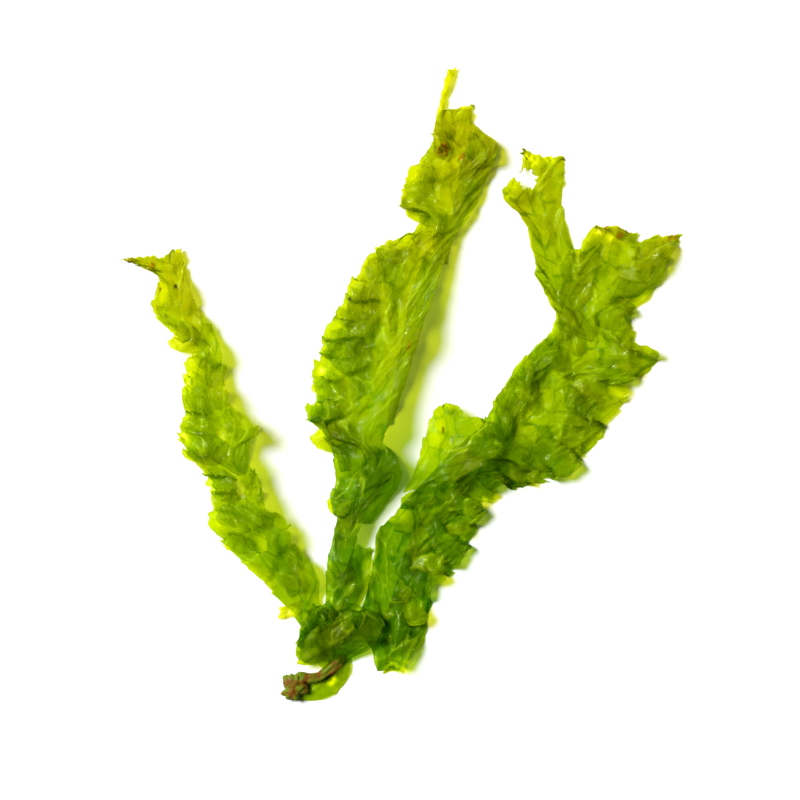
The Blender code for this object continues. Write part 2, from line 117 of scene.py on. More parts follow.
# Each track is (share of the length, value) pairs. Clearance, tilt and frill are in millimetres.
BLADES = {
    "left_frond": {
        "margins": LEFT_MARGINS,
        "lean": 1.2,
        "rib": [(0, 0.2), (0.3, 0.35), (1, 0.3)],
        "clearance": [(0, 0.5), (0.15, 0.4), (0.4, 0.9), (0.7, 1.6), (0.85, 0.8), (1, 0.4)],
        "tilt": [(0, 0), (0.1, 1.5), (0.25, 3.2), (0.5, 2.8), (0.65, 1.2), (0.8, 0.4), (1, 0)],
        "frill": (
            [(0, 0), (0.06, 0.5), (0.16, 2.8), (0.5, 3.2), (0.62, 1.2), (0.72, 2.4), (0.9, 1.0), (1, 1.0)],
            [(0, 0), (0.06, 0.5), (0.16, 2.0), (0.45, 2.2), (0.55, 0.8), (1, 0.6)],
        ),
        "seed": 3,
        "folds": 0.8,
        "thickening": [(0, 2.0), (0.25, 1.4), (0.5, 1.25), (0.8, 1.6), (1, 2.1)],
        "age": [(0, 0.15), (0.5, 0.3), (0.8, 0.6), (0.92, 1), (1, 1)],
    },
    "middle_frond": {
        "margins": MIDDLE_MARGINS,
        "lean": 1.2,
        "rib": [(0, 0), (0.3, 0.3), (0.5, 0.5), (0.8, 0.4), (1, 0)],
        "clearance": [(0, 3.6), (0.05, 2.6), (0.15, 0.6), (0.5, 1.0), (0.75, 1.2), (0.9, 0.8), (1, 0.4)],
        "tilt": [(0, 0), (0.08, 1.0), (0.18, 3.2), (0.3, 4.4), (0.5, 3.2), (0.65, 1.0), (0.85, 0.3), (1, 0)],
        "frill": (
            [(0, 0), (0.2, 0.6), (0.35, 3.0), (0.75, 3.2), (0.9, 1.8), (0.95, 0.2), (1, 0)],
            [(0, 0), (0.15, 0.6), (0.25, 0.1), (0.78, 0.1), (0.86, 1.6), (0.95, 0.2), (1, 0)],
        ),
        "seed": 5,
        "folds": 0.8,
        "thickening": [(0, 4.0), (0.25, 3.5), (0.38, 1.8), (0.7, 1.35), (0.85, 1.7), (1, 1.8)],
        "age": [(0, 0.1), (0.4, 0.25), (0.6, 0.6), (0.8, 0.7), (0.92, 1), (1, 1)],
    },
    "right_frond": {
        "margins": RIGHT_MARGINS,
        "lean": 1.0,
        "rib": [(0, -0.2), (0.3, -0.3), (0.6, -0.35), (1, -0.1)],
        "clearance": [(0, 0.4), (1, 0.6)],
        "frill": (
            [(0, 0), (0.3, 0.6), (1, 0.8)],
            [(0, 0.4), (0.12, 2.8), (0.9, 3.2), (1, 2.0)],
        ),
        "seed": 8,
        "folds": 0.6,
        "thickening": [(0, 3.6), (0.4, 2.9), (0.6, 1.9), (1, 2.0)],
        "age": [(0, 0), (0.5, 0.3), (1, 0.5)],
        "joined_tip": True,
    },
    "inner_fork": {
        "margins": INNER_FORK_MARGINS,
        "lean": 1.0,
        "rib": [(0, 0), (1, 0)],
        "clearance": [(0, 0.8), (1, 0.4)],
        "frill": ([(0, 0.4), (0.6, 1.6), (1, 1.2)], [(0, 0), (1, 0.4)]),
        "seed": 13,
        "folds": 0.6,
        "thickening": [(0, 2.2), (1, 2.1)],
        "age": [(0, 0.5), (1, 0.9)],
        "side": "left",
    },
    "outer_fork": {
        "margins": OUTER_FORK_MARGINS,
        "lean": 1.0,
        "rib": [(0, 0), (1, 0)],
        "clearance": [(0, 0.8), (1, 0.6)],
        "frill": ([(0, 0), (1, 1.0)], [(0, 1.2), (1, 1.2)]),
        "seed": 21,
        "folds": 0.8,
        "thickening": [(0, 2.2), (1, 2.1)],
        "age": [(0, 0.5), (1, 0.8)],
        "side": "right",
    },
    "side_lobe": {
        "margins": SIDE_LOBE_MARGINS,
        "lean": 1.0,
        "rib": [(0, 0), (1, -0.2)],
        "clearance": [(0, 3.4), (0.4, 2.4), (1, 2.4)],
        "tilt": [(0, 1.5), (0.4, 5.2), (1, 4.8)],
        "frill": ([(0, 0.6), (1, 1.8)], [(0, 0.4), (0.3, 2.4), (1, 2.4)]),
        "seed": 34,
        "height": 4.0,
        "folds": 1.0,
        "thickening": [(0, 1.7), (1, 1.5)],
        "age": [(0, 0.1), (1, 0.15)],
    },
    "base_fold": {
        "margins": BASE_FOLD_MARGINS,
        "lean": 1.0,
        "rib": [(0, 0), (1, 0)],
        "clearance": [(0, 1.2), (0.4, 1.2), (0.7, 2.8), (1, 3.4)],
        "tilt": [(0, 0.4), (0.4, 1.4), (1, 0.4)],
        "frill": ([(0, 0.8), (1, 2.0)], [(0, 0.8), (1, 2.4)]),
        "seed": 55,
        "height": 5.0,
        "folds": 0.4,
        "thickening": [(0, 2.8), (1, 2.8)],
        "age": [(0, 0), (1, 0)],
    },
    "base_lobe": {
        "margins": BASE_LOBE_MARGINS,
        "lean": 1.0,
        "rib": [(0, 0), (1, 0)],
        "clearance": [(0, 0.4), (1, 0.4)],
        "frill": ([(0, 0), (1, 1.2)], [(0, 0), (1, 1.6)]),
        "seed": 89,
        "folds": 0.8,
        "thickening": [(0, 2.4), (1, 2.4)],
        "age": [(0, 0.3), (1, 0.1)],
    },
}

# Flaps that grow from a frond and lie on it: lift, thickening, age and margins from root to tip
FLAPS = {
    "left_frond": {
        "left_wing": (1.0, 1.0, 0.4, [
            ((-17.4, 63.9), (-15.6, 66.3)), ((-23.4, 67.5), (-19.2, 72.6)),
            ((-29.4, 69.3), (-25.2, 76.5)), ((-34.2, 73.8), (-31.2, 78.0)),
        ]),
        "left_step": (1.4, 1.2, 0.4, [
            ((-16.8, 63.9), (-14.1, 65.1)), ((-19.8, 72.3), (-12.6, 73.5)),
            ((-21.6, 78.9), (-9.9, 77.7)),
        ]),
        "left_panel": (1.0, 1.1, 0.2, [
            ((-1.2, 27.3), (2.7, 29.7)), ((-9.6, 37.5), (-2.1, 41.1)), ((-15.3, 46.5), (-7.2, 50.1)),
            ((-21.0, 53.7), (-14.1, 56.7)),
        ]),
    },
    "middle_frond": {
        "finger": (1.2, 0.8, 1.0, [
            ((41.7, 161.1), (45.6, 162.3)), ((42.0, 168.3), (44.7, 168.3)),
            ((43.6, 176.1), (46.0, 176.1)), ((44.7, 180.9), (47.4, 181.2)),
            ((45.6, 184.5), (48.8, 185.1)),
        ]),
        "top_panel": (1.6, 2.0, 0.8, [
            ((47.4, 141.6), (51.6, 143.1)), ((48.6, 149.1), (56.4, 149.7)),
            ((49.8, 156.6), (60.0, 156.6)), ((51.6, 164.1), (60.9, 161.1)),
            ((52.8, 166.2), (57.9, 164.4)),
        ]),
        "top_step": (1.4, 1.3, 0.7, [
            ((43.8, 126.9), (45.9, 127.5)), ((41.4, 132.6), (46.8, 131.7)),
            ((42.0, 137.7), (49.2, 137.1)), ((42.6, 141.9), (50.7, 141.9)),
        ]),
        "fan_panel": (1.0, 0.8, 0.6, [
            ((28.8, 107.1), (30.6, 107.7)), ((26.7, 119.1), (32.4, 119.7)),
            ((24.6, 126.6), (34.2, 127.5)), ((24.0, 131.7), (34.5, 131.1)),
        ]),
        "upper_left_panel": (0.8, 0.8, 0.5, [
            ((17.4, 86.1), (20.4, 87.6)), ((16.2, 98.1), (23.4, 99.6)), ((15.3, 110.1), (25.8, 110.7)),
            ((16.5, 119.1), (25.2, 120.6)),
        ]),
        "turned_margin": (3.4, 1.9, 0.7, [
            ((27.6, 78.6), (29.7, 79.8)), ((30.0, 92.1), (34.2, 93.3)), ((32.4, 105.6), (38.4, 107.1)),
            ((35.1, 119.1), (42.0, 119.7)), ((39.0, 129.6), (44.7, 131.1)),
        ]),
        "teardrop": (1.2, 0.9, 0.4, [
            ((19.8, 87.6), (21.9, 88.5)), ((18.0, 95.1), (23.1, 96.6)), ((17.7, 100.5), (22.5, 101.1)),
            ((19.2, 104.1), (20.7, 104.7)),
        ]),
        "left_corner": (1.0, 1.4, 0.3, [
            ((13.8, 65.1), (16.8, 65.7)), ((10.8, 74.1), (15.6, 75.3)), ((5.1, 79.8), (13.2, 83.1)),
            ((5.4, 84.0), (10.8, 86.1)),
        ]),
        "round_lobe": (1.4, 1.6, 0.1, [
            ((16.8, 50.1), (23.4, 49.5)), ((17.4, 57.6), (29.4, 57.0)), ((19.2, 65.1), (32.4, 62.7)),
            ((21.6, 70.2), (30.9, 68.4)), ((24.0, 71.7), (28.2, 71.4)),
        ]),
        "small_lobe": (1.0, 1.0, 0.3, [
            ((15.3, 50.7), (16.8, 53.1)), ((11.1, 52.2), (15.0, 56.7)), ((9.6, 55.5), (12.9, 59.7)),
        ]),
    },
    "right_frond": {
        "toothed_flap": (0.8, 1.6, 0.1, [
            ((10.8, 21.9), (17.4, 22.5)), ((12.6, 29.1), (21.6, 27.9)), ((15.6, 36.6), (23.1, 34.5)),
            ((18.6, 42.6), (23.4, 41.1)),
        ]),
        "oval_pocket": (1.6, 1.6, 0.1, [
            ((32.4, 56.7), (32.4, 53.7)), ((36.0, 58.8), (36.3, 53.7)), ((40.8, 58.5), (40.8, 54.3)),
            ((42.9, 57.0), (43.2, 55.2)),
        ]),
        "pale_lobe": (0.5, 0.9, 0.5, [
            ((33.3, 29.1), (29.4, 26.1)), ((39.3, 22.5), (26.7, 19.5)), ((39.0, 14.1), (25.8, 13.5)),
            ((35.4, 9.6), (27.3, 9.6)), ((33.3, 4.8), (26.7, 4.8)),
        ]),
        "trunk_panel": (1.6, 1.4, 0.2, [
            ((28.8, 24.6), (34.2, 26.1)), ((32.4, 38.1), (40.2, 39.3)), ((36.3, 50.1), (46.8, 51.6)),
            ((40.8, 57.6), (52.2, 59.1)), ((45.9, 64.5), (55.8, 65.1)),
        ]),
        "dark_margin": (1.8, 1.4, 0.2, [
            ((57.6, 65.1), (61.8, 65.7)), ((58.8, 77.1), (66.3, 77.7)), ((61.5, 87.0), (72.3, 89.1)),
            ((67.5, 96.0), (78.6, 99.6)), ((74.1, 103.5), (81.3, 107.1)),
        ]),
        "outer_panel": (1.2, 1.0, 0.4, [
            ((67.8, 65.1), (70.8, 62.7)), ((75.3, 74.1), (81.3, 69.6)), ((81.3, 83.1), (91.8, 77.1)),
            ((87.3, 90.6), (100.2, 86.1)),
        ]),
        "crotch_panel": (1.4, 1.2, 0.5, [
            ((79.8, 106.5), (85.2, 107.1)), ((78.6, 116.1), (88.8, 117.6)),
            ((79.2, 125.1), (91.2, 126.6)), ((82.2, 130.5), (91.8, 132.3)),
        ]),
        "corner_panel": (1.0, 1.0, 0.7, [
            ((94.8, 115.5), (100.8, 112.5)), ((98.4, 123.6), (108.3, 119.1)),
            ((102.6, 131.7), (113.4, 128.1)),
        ]),
    },
    "base_fold": {
        "wrap": (4.6, 1.6, 0.1, [
            ((9.6, 5.7), (14.7, 7.5)), ((5.4, 9.6), (17.4, 14.1)), ((3.0, 14.1), (18.6, 17.7)),
            ((8.4, 19.5), (16.8, 21.9)),
        ]),
        "tongue": (3.4, 1.4, 0.0, [
            ((12.6, 24.3), (11.4, 14.1)), ((17.4, 25.2), (15.6, 10.5)), ((22.2, 23.7), (21.6, 13.5)),
            ((25.8, 21.3), (24.6, 14.1)), ((26.7, 18.9), (26.1, 15.9)),
        ]),
        "left_ball": (1.6, 1.8, 0.0, [
            ((10.8, 17.7), (9.6, 9.6)), ((5.4, 21.3), (3.6, 10.5)), ((2.1, 18.9), (1.2, 12.9)),
        ]),
        "pointed_flap": (4.0, 1.2, 0.2, [
            ((11.4, 14.1), (12.0, 9.6)), ((6.0, 14.1), (5.4, 6.9)), ((1.2, 11.1), (1.5, 7.2)),
        ]),
        "dark_pocket": (4.2, 2.6, 0.0, [
            ((4.2, 14.1), (15.3, 14.7)), ((3.6, 19.5), (12.6, 22.5)), ((5.4, 24.9), (10.8, 26.1)),
        ]),
        "base_curl": (1.6, 2.2, 0.0, [
            ((8.4, 9.3), (10.8, 15.3)), ((3.0, 10.5), (6.0, 19.8)), ((0.6, 13.5), (2.1, 17.7)),
        ]),
        "pale_curl": (1.0, 0.5, 1.0, [
            ((1.8, 22.5), (1.8, 26.1)), ((-2.4, 20.7), (-1.8, 24.9)), ((-4.5, 20.1), (-4.5, 24.3)),
        ]),
    },
}

# Petals that stand on a frond's margins: side (-1 left, 1 right), then first and last share of its length
PETALS = {
    "left_frond": [(-1, 0.2, 0.74), (1, 0.12, 0.4), (1, 0.5, 0.62)],
    "middle_frond": [(-1, 0.3, 0.92), (1, 0.84, 0.93)],
    "right_frond": [(1, 0.04, 0.4), (1, 0.48, 0.92), (-1, 0.62, 0.86)],
    "outer_fork": [(1, 0.3, 0.8)],
}
PETAL_PITCH = 7.0
PETAL_REACH = 0.77
PETAL_CELL = 1.3

PETAL_STEP = (3.0, 8.0)
PETAL_ROOT = (0.0, 0.3)
PETAL_PLACES = (0.0, 0.45, 0.8, 1.02)
PETAL_WIDTHS = (0.16, 0.34, 0.42, 0.28)
PETAL_SPREAD = (0.75, 1.25)
PETAL_LIFT = (0.8, 3.4)
PETAL_THICKENING = (0.35, 0.8)
PETAL_LAST = 0.97

# Links between a sheet's points as (rows apart, columns apart, stiffness): stretch, shear, then bending
LINKS = [
    (1, 0, 1.0), (0, 1, 1.0), (1, 1, 0.4), (1, -1, 0.4),
    (2, 0, 0.45), (0, 2, 0.45), (5, 0, 0.3), (0, 5, 0.3),
]
COARSE_CELL = 1.1
FEWEST_CELLS = 6
# Columns for each cell of a frond's width, because its ruffled section is longer than it is wide
COLUMN_SPARE = 1.35
# How much a frond outgrows its plan: all over, in its folds, and along and across its margins
GROWTH = 0.04
FOLD_GROWTH = 0.07
MARGIN_GROWTH = 0.5
MARGIN_WIDENING = 0.08
FULL_FRILL = 3.0
# How firmly each step pulls a point back to its plan: inside the frond, at its margins and on its rib
HOLD_INSIDE = 0.01
HOLD_MARGIN = 0.4
HOLD_RIB = 0.1
# The ceiling's height over a frond at least this wide, as a half width
CEILING = 3.4
WIDE_HALF = 8.0
GROW_STEPS = 300
SETTLE_STEPS = 150
GLIDE = 0.8
RIDGE_BEND = (0.16, 0.5)
SWEEP = 0.75
SWEEP_REACH = 16
HOLD_ALONG = 0.015
WEIGHT = 0.004
TRACE_STEPS = 900
LOWEST = 0.14
# Ruffles as (length along the margin, lean, overlap, height, innermost share, seed)
RUFFLES = [(5.1, 0.7, 0.08, 0.18, 0.3, 54), (2.6, 0.4, 0.05, 0.08, 0.75, 53)]
# Teeth as (pitch, height, seed), and crumpled facets as (height, longest wave, seed)
TEETH = [(5.6, 2.0, 1), (1.7, 0.7, 2)]
CRUMPLES = [(0.4, 9.0, 11), (0.08, 3.0, 12)]
CRUMPLE_WAVES = 4
TORN_DEPTH = 1.6
DETAIL_FADE = 6.0
TORN_FADE = 8.0
CROTCH = 0.44
# Whole numbers that scramble a lattice cell's place into its noise
MIX_X, MIX_Y, MIX_SEED, MIX_LAST = 374761393, 668265263, 974634777, 1274126177
# The holdfast's disc as half widths and height, and its stalk as a route with half widths along it
KNOB = (3.6, 3.9, 3.4)
STALK_ROUTE = [
    (0.0, 1.6, 1.5), (3.0, 2.8, 1.5), (6.3, 2.8, 1.4), (9.6, 4.6, 1.1), (12.6, 7.2, 0.8), (15.0, 10.0, 0.6),
]
STALK_WIDTHS = [(0, 2.4), (0.25, 1.5), (0.5, 1.3), (1, 1.8)]
STALK_FLATNESS = 0.6
SEAM_REACH = 7.0
VIEW_CENTRE = (31.8, 86.1, 0.0)
VIEW_SPAN = 240.0
CAMERA_HEIGHT = 800.0
CARD_REACH = 3000.0
KEY_FROM = (-0.62, 0.30, 0.72)
KEY_DISTANCE = 900.0
KEY_SOFTNESS = 26.0
CLEAR_LAYERS = 24
# How strongly the painted highlight and shade along ridges, furrows and crease lines, and the bleached spots,
# change the tissue
CREASE_SHADE_PATH = 1.3
CREASE_SHADE_COLOUR = 0.5
RIDGE_HIGHLIGHT_COLOUR = 0.65
RIDGE_HIGHLIGHT_CLOUD = 0.18
BLEACHING = 0.85
SPECK_COLOUR = "#0B0E04"
GLOSS_COLOUR = "#E6FF50"


def smooth_step(low, high, x):
    t = np.clip((x - low) / (high - low), 0.0, 1.0)
    return t * t * (3.0 - 2.0 * t)


def curve_between(p0, p1, p2, p3, t):
    """Points of a Catmull-Rom curve, at shares t of the way from p1 to p2."""
    bend = 2 * p0 - 5 * p1 + 4 * p2 - p3
    twist = 3 * (p1 - p2) + p3 - p0
    return 0.5 * (2 * p1 + (p2 - p0) * t + bend * t**2 + twist * t**3)


def smooth_curve(points, u):
    """Points of a Catmull-Rom curve through the given points, at shares u of their count."""
    points = np.asarray(points, float)
    before = 2 * points[:1] - points[1:2]
    after = 2 * points[-1:] - points[-2:-1]
    padded = np.concatenate((before, points, after))
    place = np.clip(u, 0, 1) * (len(points) - 1)
    first = np.minimum(place.astype(int), len(points) - 2)
    return curve_between(*(padded[first + k] for k in range(4)), (place - first)[:, None])


def scrambled(seed, cell_x, cell_y):
    """A whole number for each lattice cell that looks random and is the same in each run."""
    mixed = cell_x * MIX_X + cell_y * MIX_Y + seed * MIX_SEED
    return (mixed ^ (mixed >> 13)) * MIX_LAST


def noise(seed, x, y):
    """Gradient noise of about -1 to 1, with one lattice step per unit of x and y."""
    x, y = np.broadcast_arrays(np.asarray(x, float), np.asarray(y, float))
    cell_x, cell_y = np.floor(x).astype(np.int64), np.floor(y).astype(np.int64)
    u, v = x - cell_x, y - cell_y

    def corner(right, up):
        mixed = scrambled(seed, cell_x + right, cell_y + up)
        angle = ((mixed ^ (mixed >> 16)) & 0xFFFF) * (2 * math.pi / 0x10000)
        return np.cos(angle) * (u - right) + np.sin(angle) * (v - up)

    fade_u, fade_v = u**3 * (u * (u * 6 - 15) + 10), v**3 * (v * (v * 6 - 15) + 10)
    low = corner(0, 0) * (1 - fade_u) + corner(1, 0) * fade_u
    high = corner(0, 1) * (1 - fade_u) + corner(1, 1) * fade_u
    return 1.5 * (low * (1 - fade_v) + high * fade_v)


def creases(seed, x, y, longest, count):
    """Facets with sharp creases between them, as in crumpled film: triangle waves in many directions."""
    rng = np.random.default_rng(seed)
    x_bent = x + 0.35 * longest * noise(seed + 1, x / longest, y / longest)
    y_bent = y + 0.35 * longest * noise(seed + 2, x / longest, y / longest)
    total = np.zeros(np.broadcast(x, y).shape)
    for k in range(count):
        angle, phase = rng.uniform(0, math.pi), rng.uniform(0, 2 * math.pi)
        length = longest * 0.8**k
        along = x_bent * math.cos(angle) + y_bent * math.sin(angle)
        wave = np.arcsin(np.sin(2 * math.pi * along / length + phase)) * 2 / math.pi
        total += wave * length / longest
    return total


def crease_wave(x, softness=0.04):
    """A wave with flat flanks and nearly sharp crests, like a folded sheet's."""
    return np.arcsin((1 - softness) * np.sin(x)) / math.asin(1 - softness)


def value_along(stops, share):
    """A track's values at the given shares of the length, as a column."""
    places, values = zip(*stops)
    return np.interp(share, places, values)[:, None]


def out_from_rib(blade, share, across, half_width):
    """How far out each place is from the rib, as a share, its way in from the margin, and its side."""
    rib = value_along(blade["rib"], share)
    side = np.where(across > rib, 1.0, -1.0)
    reach = 1 - side * rib
    out = np.abs(across - rib) / reach
    return out, (1 - out) * reach * half_width, side


def trunk_edge(joined):
    """The last points of a trunk that a fork grows from, with their slope, and which columns they are."""
    (points, run, _, _), blade = joined
    crotch = round(CROTCH * (points.shape[1] - 1))
    columns = slice(0, crotch + 1) if blade["side"] == "left" else slice(crotch, points.shape[1])
    slope = (points[-1] - points[-6]) / (run[-1, 0] - run[-6, 0])
    return (points[-1, columns], slope[columns]), columns


def normals_of(points):
    """Unit normals of a grid of points, up where the sheet lies flat."""
    along = np.gradient(points, axis=0)
    across = np.gradient(points, axis=1)
    normal = np.cross(across, along)
    return normal / np.maximum(np.linalg.norm(normal, axis=2, keepdims=True), 1e-9)


def notches(seed, run, depth):
    """How far the toothed margin stands back from its outline: teeth of two sizes that lean to the tip."""
    total = 0.5 * np.abs(noise(seed, run / 6.0, 0.5))
    for pitch, height, k in TEETH:
        place = run / pitch + 0.7 * noise(seed + k, run / (2.2 * pitch), 0.5)
        tooth = np.floor(place)
        size = 0.25 + np.abs(noise(seed + 4 + k, tooth * 0.73, tooth * 0.41 + 0.5))
        total = total + height * size * (1 - (place - tooth)) ** 0.8
    return depth * total


def linked(row_step, column_step):
    """The slices that pick a grid's points and, for each of them, its neighbour at the given step."""
    rows = slice(0, -row_step or None), slice(row_step, None)
    if column_step < 0:
        columns = slice(-column_step, None), slice(0, column_step)
    else:
        columns = slice(0, -column_step or None), slice(column_step, None)
    return (rows[0], columns[0]), (rows[1], columns[1])


def grown(seed, plan, heading, longer, wider, hold, ceiling):
    """Where a sheet's points come to rest once its margins have outgrown its middle and it is laid flat.

    Each link between neighbours grows along the frond and across it, and the sheet buckles to make room."""
    links = []
    for row_step, column_step, stiffness in LINKS:
        first, second = linked(row_step, column_step)
        gap = plan[second] - plan[first]
        axis = np.broadcast_to(heading[:, None, :], plan.shape)[first]
        along = (gap * axis).sum(axis=2)
        aside = gap[:, :, 0] * axis[:, :, 1] - gap[:, :, 1] * axis[:, :, 0]
        extra = (longer[first] + longer[second]) / 2
        full = np.hypot(along * (1 + extra), aside * (1 + (wider[first] + wider[second]) / 2))
        links.append((first, second, np.hypot(along, aside), full, stiffness))
    x, y = plan[:, :, 0], plan[:, :, 1]
    bumps = noise(seed + 15, x / 9.0, y / 9.0) + 0.5 * noise(seed + 16, x / 4.0, y / 4.0)
    points = np.concatenate((plan, (0.4 * ceiling * (1 + bumps))[:, :, None]), axis=2)
    before = points.copy()
    for step in range(GROW_STEPS + SETTLE_STEPS):
        share = min(1.0, (step + 1) / GROW_STEPS)
        glide = GLIDE * (points - before)
        before = points.copy()
        points += glide
        for first, second, flat, full, stiffness in links:
            gap = points[second] - points[first]
            away = np.sqrt((gap * gap).sum(axis=2)) + 1e-9
            push = (0.25 * stiffness * (1 - (flat + (full - flat) * share) / away))[:, :, None] * gap
            points[first] += push
            points[second] -= push
        drift = plan - points[:, :, :2]
        lengthwise = (drift * heading[:, None, :]).sum(axis=2, keepdims=True) * heading[:, None, :]
        points[:, :, :2] += hold * (drift - lengthwise) + HOLD_ALONG * lengthwise
        points[:, :, 2] = np.clip(points[:, :, 2] - WEIGHT, 0.0, ceiling)
    return points


def sampled(grid, row_places, column_places):
    """Points on the smooth surface through a grid, at shares of its rows and of its columns in each row."""
    rows, columns = grid.shape[:2]
    drawn = smooth_curve(grid.reshape(rows, -1), row_places).reshape(-1, columns, 3)
    before, after = 2 * drawn[:, :1] - drawn[:, 1:2], 2 * drawn[:, -1:] - drawn[:, -2:-1]
    padded = np.concatenate((before, drawn, after), axis=1)
    place = np.clip(column_places, 0, 1) * (columns - 1)
    first = np.minimum(place.astype(int), columns - 2)
    corners = (np.take_along_axis(padded, (first + k)[:, :, None], axis=1) for k in range(4))
    return curve_between(*corners, (place - first)[:, :, None])


def table_at(place, run_at, table):
    """The two columns of a table of points, at the given places along the run."""
    return np.stack([np.interp(place, run_at, table[:, k]) for k in (0, 1)], axis=-1)


def sheet_points(blade, cell, joined=None):
    """A blade's middle surface as rows x columns x 3, with the run and the place across of each point.

    A fork is drawn to the end of the trunk that it is joined to, column by column."""
    lefts = [left for left, right in blade["margins"]]
    rights = [right for left, right in blade["margins"]]
    places = np.linspace(0, 1, TRACE_STEPS)
    left_trace, right_trace = smooth_curve(lefts, places), smooth_curve(rights, places)
    traced = (left_trace + right_trace) / 2
    widths = np.linalg.norm(right_trace - left_trace, axis=1)
    run_at = np.concatenate(([0.0], np.cumsum(np.linalg.norm(np.diff(traced, axis=0), axis=1))))
    length = run_at[-1]
    rows = round(length / cell)
    columns = round(COLUMN_SPARE * widths.max() / cell)
    if joined:
        trunk_end, fork_columns = trunk_edge(joined)
        columns = fork_columns.stop - fork_columns.start - 1

    coarse_run = np.linspace(0, length, max(FEWEST_CELLS, round(length / COARSE_CELL)) + 1)
    coarse_columns = max(FEWEST_CELLS, round(1.1 * widths.max() / COARSE_CELL))
    coarse_across = np.linspace(-1, 1, coarse_columns + 1)[None, :]
    coarse_share = coarse_run / length
    coarse_half = np.interp(coarse_run, run_at, widths)[:, None] / 2
    out, _, side = out_from_rib(blade, coarse_share, coarse_across, coarse_half)
    window = np.ones(2 * SWEEP_REACH + 1) / (2 * SWEEP_REACH + 1)
    padded = np.pad(coarse_half[:, 0], SWEEP_REACH, mode="edge")
    even_half = np.convolve(padded, window, mode="valid")[:, None]
    swept = SWEEP * blade["lean"] * out * even_half
    taper = 1.4 * swept.max() + 1e-6
    ends = np.minimum(1, np.minimum(coarse_run, length - coarse_run) / taper)[:, None]
    place = coarse_run[:, None] + swept * ends
    reach = table_at(place, run_at, (right_trace - left_trace) / 2)
    plan = table_at(place, run_at, traced) + coarse_across[:, :, None] * reach
    heading = np.gradient(table_at(coarse_run, run_at, traced), axis=0)
    heading /= np.linalg.norm(heading, axis=1)[:, None]

    frills = [value_along(track, coarse_share) / FULL_FRILL for track in blade["frill"]]
    edge = np.where(side < 0, *frills)
    rise = smooth_step(0.05, 1.0, out)
    longer = MARGIN_GROWTH * edge * rise + GROWTH
    wider = GROWTH + FOLD_GROWTH * blade["folds"] + MARGIN_WIDENING * edge * rise
    at_margin, at_rib = smooth_step(0.5, 1.0, out), 1 - smooth_step(0.0, 0.15, out)
    hold = HOLD_INSIDE + HOLD_MARGIN * at_margin + HOLD_RIB * at_rib
    narrow = 0.35 + 0.65 * np.minimum(1, coarse_half / WIDE_HALF)
    ceiling = blade.get("height", CEILING) * narrow * (0.5 + 0.5 * out)
    settled = grown(blade["seed"], plan, heading, longer, wider, hold[:, :, None], ceiling)

    run = np.linspace(0, length, rows + 1)
    share = run / length
    half_width = np.interp(run, run_at, widths)[:, None] / 2
    even = np.linspace(-1, 1, columns + 1)
    seed = blade["seed"]
    fade = smooth_step(0, DETAIL_FADE, run)
    if blade.get("joined_tip"):
        fade = fade * (1 - smooth_step(length - DETAIL_FADE, length, run))
    frills = [np.minimum(value_along(track, share)[:, 0] / 2.5, 1.0) for track in blade["frill"]]
    backs = [notches(seed + 60 + 5 * side, run, 0.12 + 0.88 * frills[side]) * fade for side in (0, 1)]
    shrink = np.where(even < 0, backs[0][:, None], backs[1][:, None]) / half_width
    spread = even * (1 - np.clip(shrink, 0, 0.45))
    if blade.get("joined_tip"):
        torn = np.zeros(columns + 1)
    else:
        tip_half = half_width[-1]
        torn = np.minimum(1.0, 0.12 * tip_half) * TORN_DEPTH * notches(seed + 80, (even + 1) * tip_half, 1.0)
    points = sampled(settled, share, (spread + 1) / 2)
    for j in range(columns + 1):
        shifted = run - torn[j] * smooth_step(length - TORN_FADE, length, run)
        for axis in range(3):
            points[:, j, axis] = np.interp(shifted, run, points[:, j, axis])
    tilt = value_along(blade.get("tilt", [(0, 0)]), share)
    points[:, :, 2] += tilt * (spread + 1) + value_along(blade["clearance"], share)
    if joined:
        tip, slope = trunk_end
        grown_on = tip[None, :, :] + run[:, None, None] * slope[None, :, :]
        share_own = smooth_step(0, SEAM_REACH, run)[:, None, None]
        points = grown_on + (points - grown_on) * share_own
    run_grid = np.broadcast_to(run[:, None], spread.shape)
    return points, run_grid, spread, half_width


def ruffled(blade, points, run, across, half_width, ruffle, quiet):
    """The sheet with one more size of ruffle: folds that run out and up from the rib and overlap."""
    length, lean, overlap, height, inner, seed = ruffle
    lean = lean * blade["lean"]
    share = run[:, 0] / run[-1, 0]
    out, way_in, side = out_from_rib(blade, share, across, half_width)
    seed = blade["seed"] + seed
    tracks = [np.minimum(value_along(track, share) + 0.7, 3.0) / 3.0 for track in blade["frill"]]
    size = np.where(side < 0, *tracks) * smooth_step(inner, 1.0, out) * quiet
    size = size * (0.75 + 0.7 * noise(seed, run / (1.9 * length), way_in / length + 9 * side))
    bent = 0.35 * length * noise(seed + 1, run / (1.6 * length), way_in / (1.2 * length) + 5 * side)
    wave = 2 * math.pi * (run + lean * way_in + bent) / length + side
    normal = normals_of(points)
    along = np.gradient(points, axis=0)
    along /= np.maximum(np.linalg.norm(along, axis=2, keepdims=True), 1e-9)
    inward = np.cross(along, normal) * -side[:, :, None]
    slope = math.hypot(1.0, lean)
    push = (along + lean * inward) / slope
    shift = -overlap * length / slope * size * crease_wave(2 * wave)
    return points + shift[:, :, None] * push + (height * size * crease_wave(wave))[:, :, None] * normal


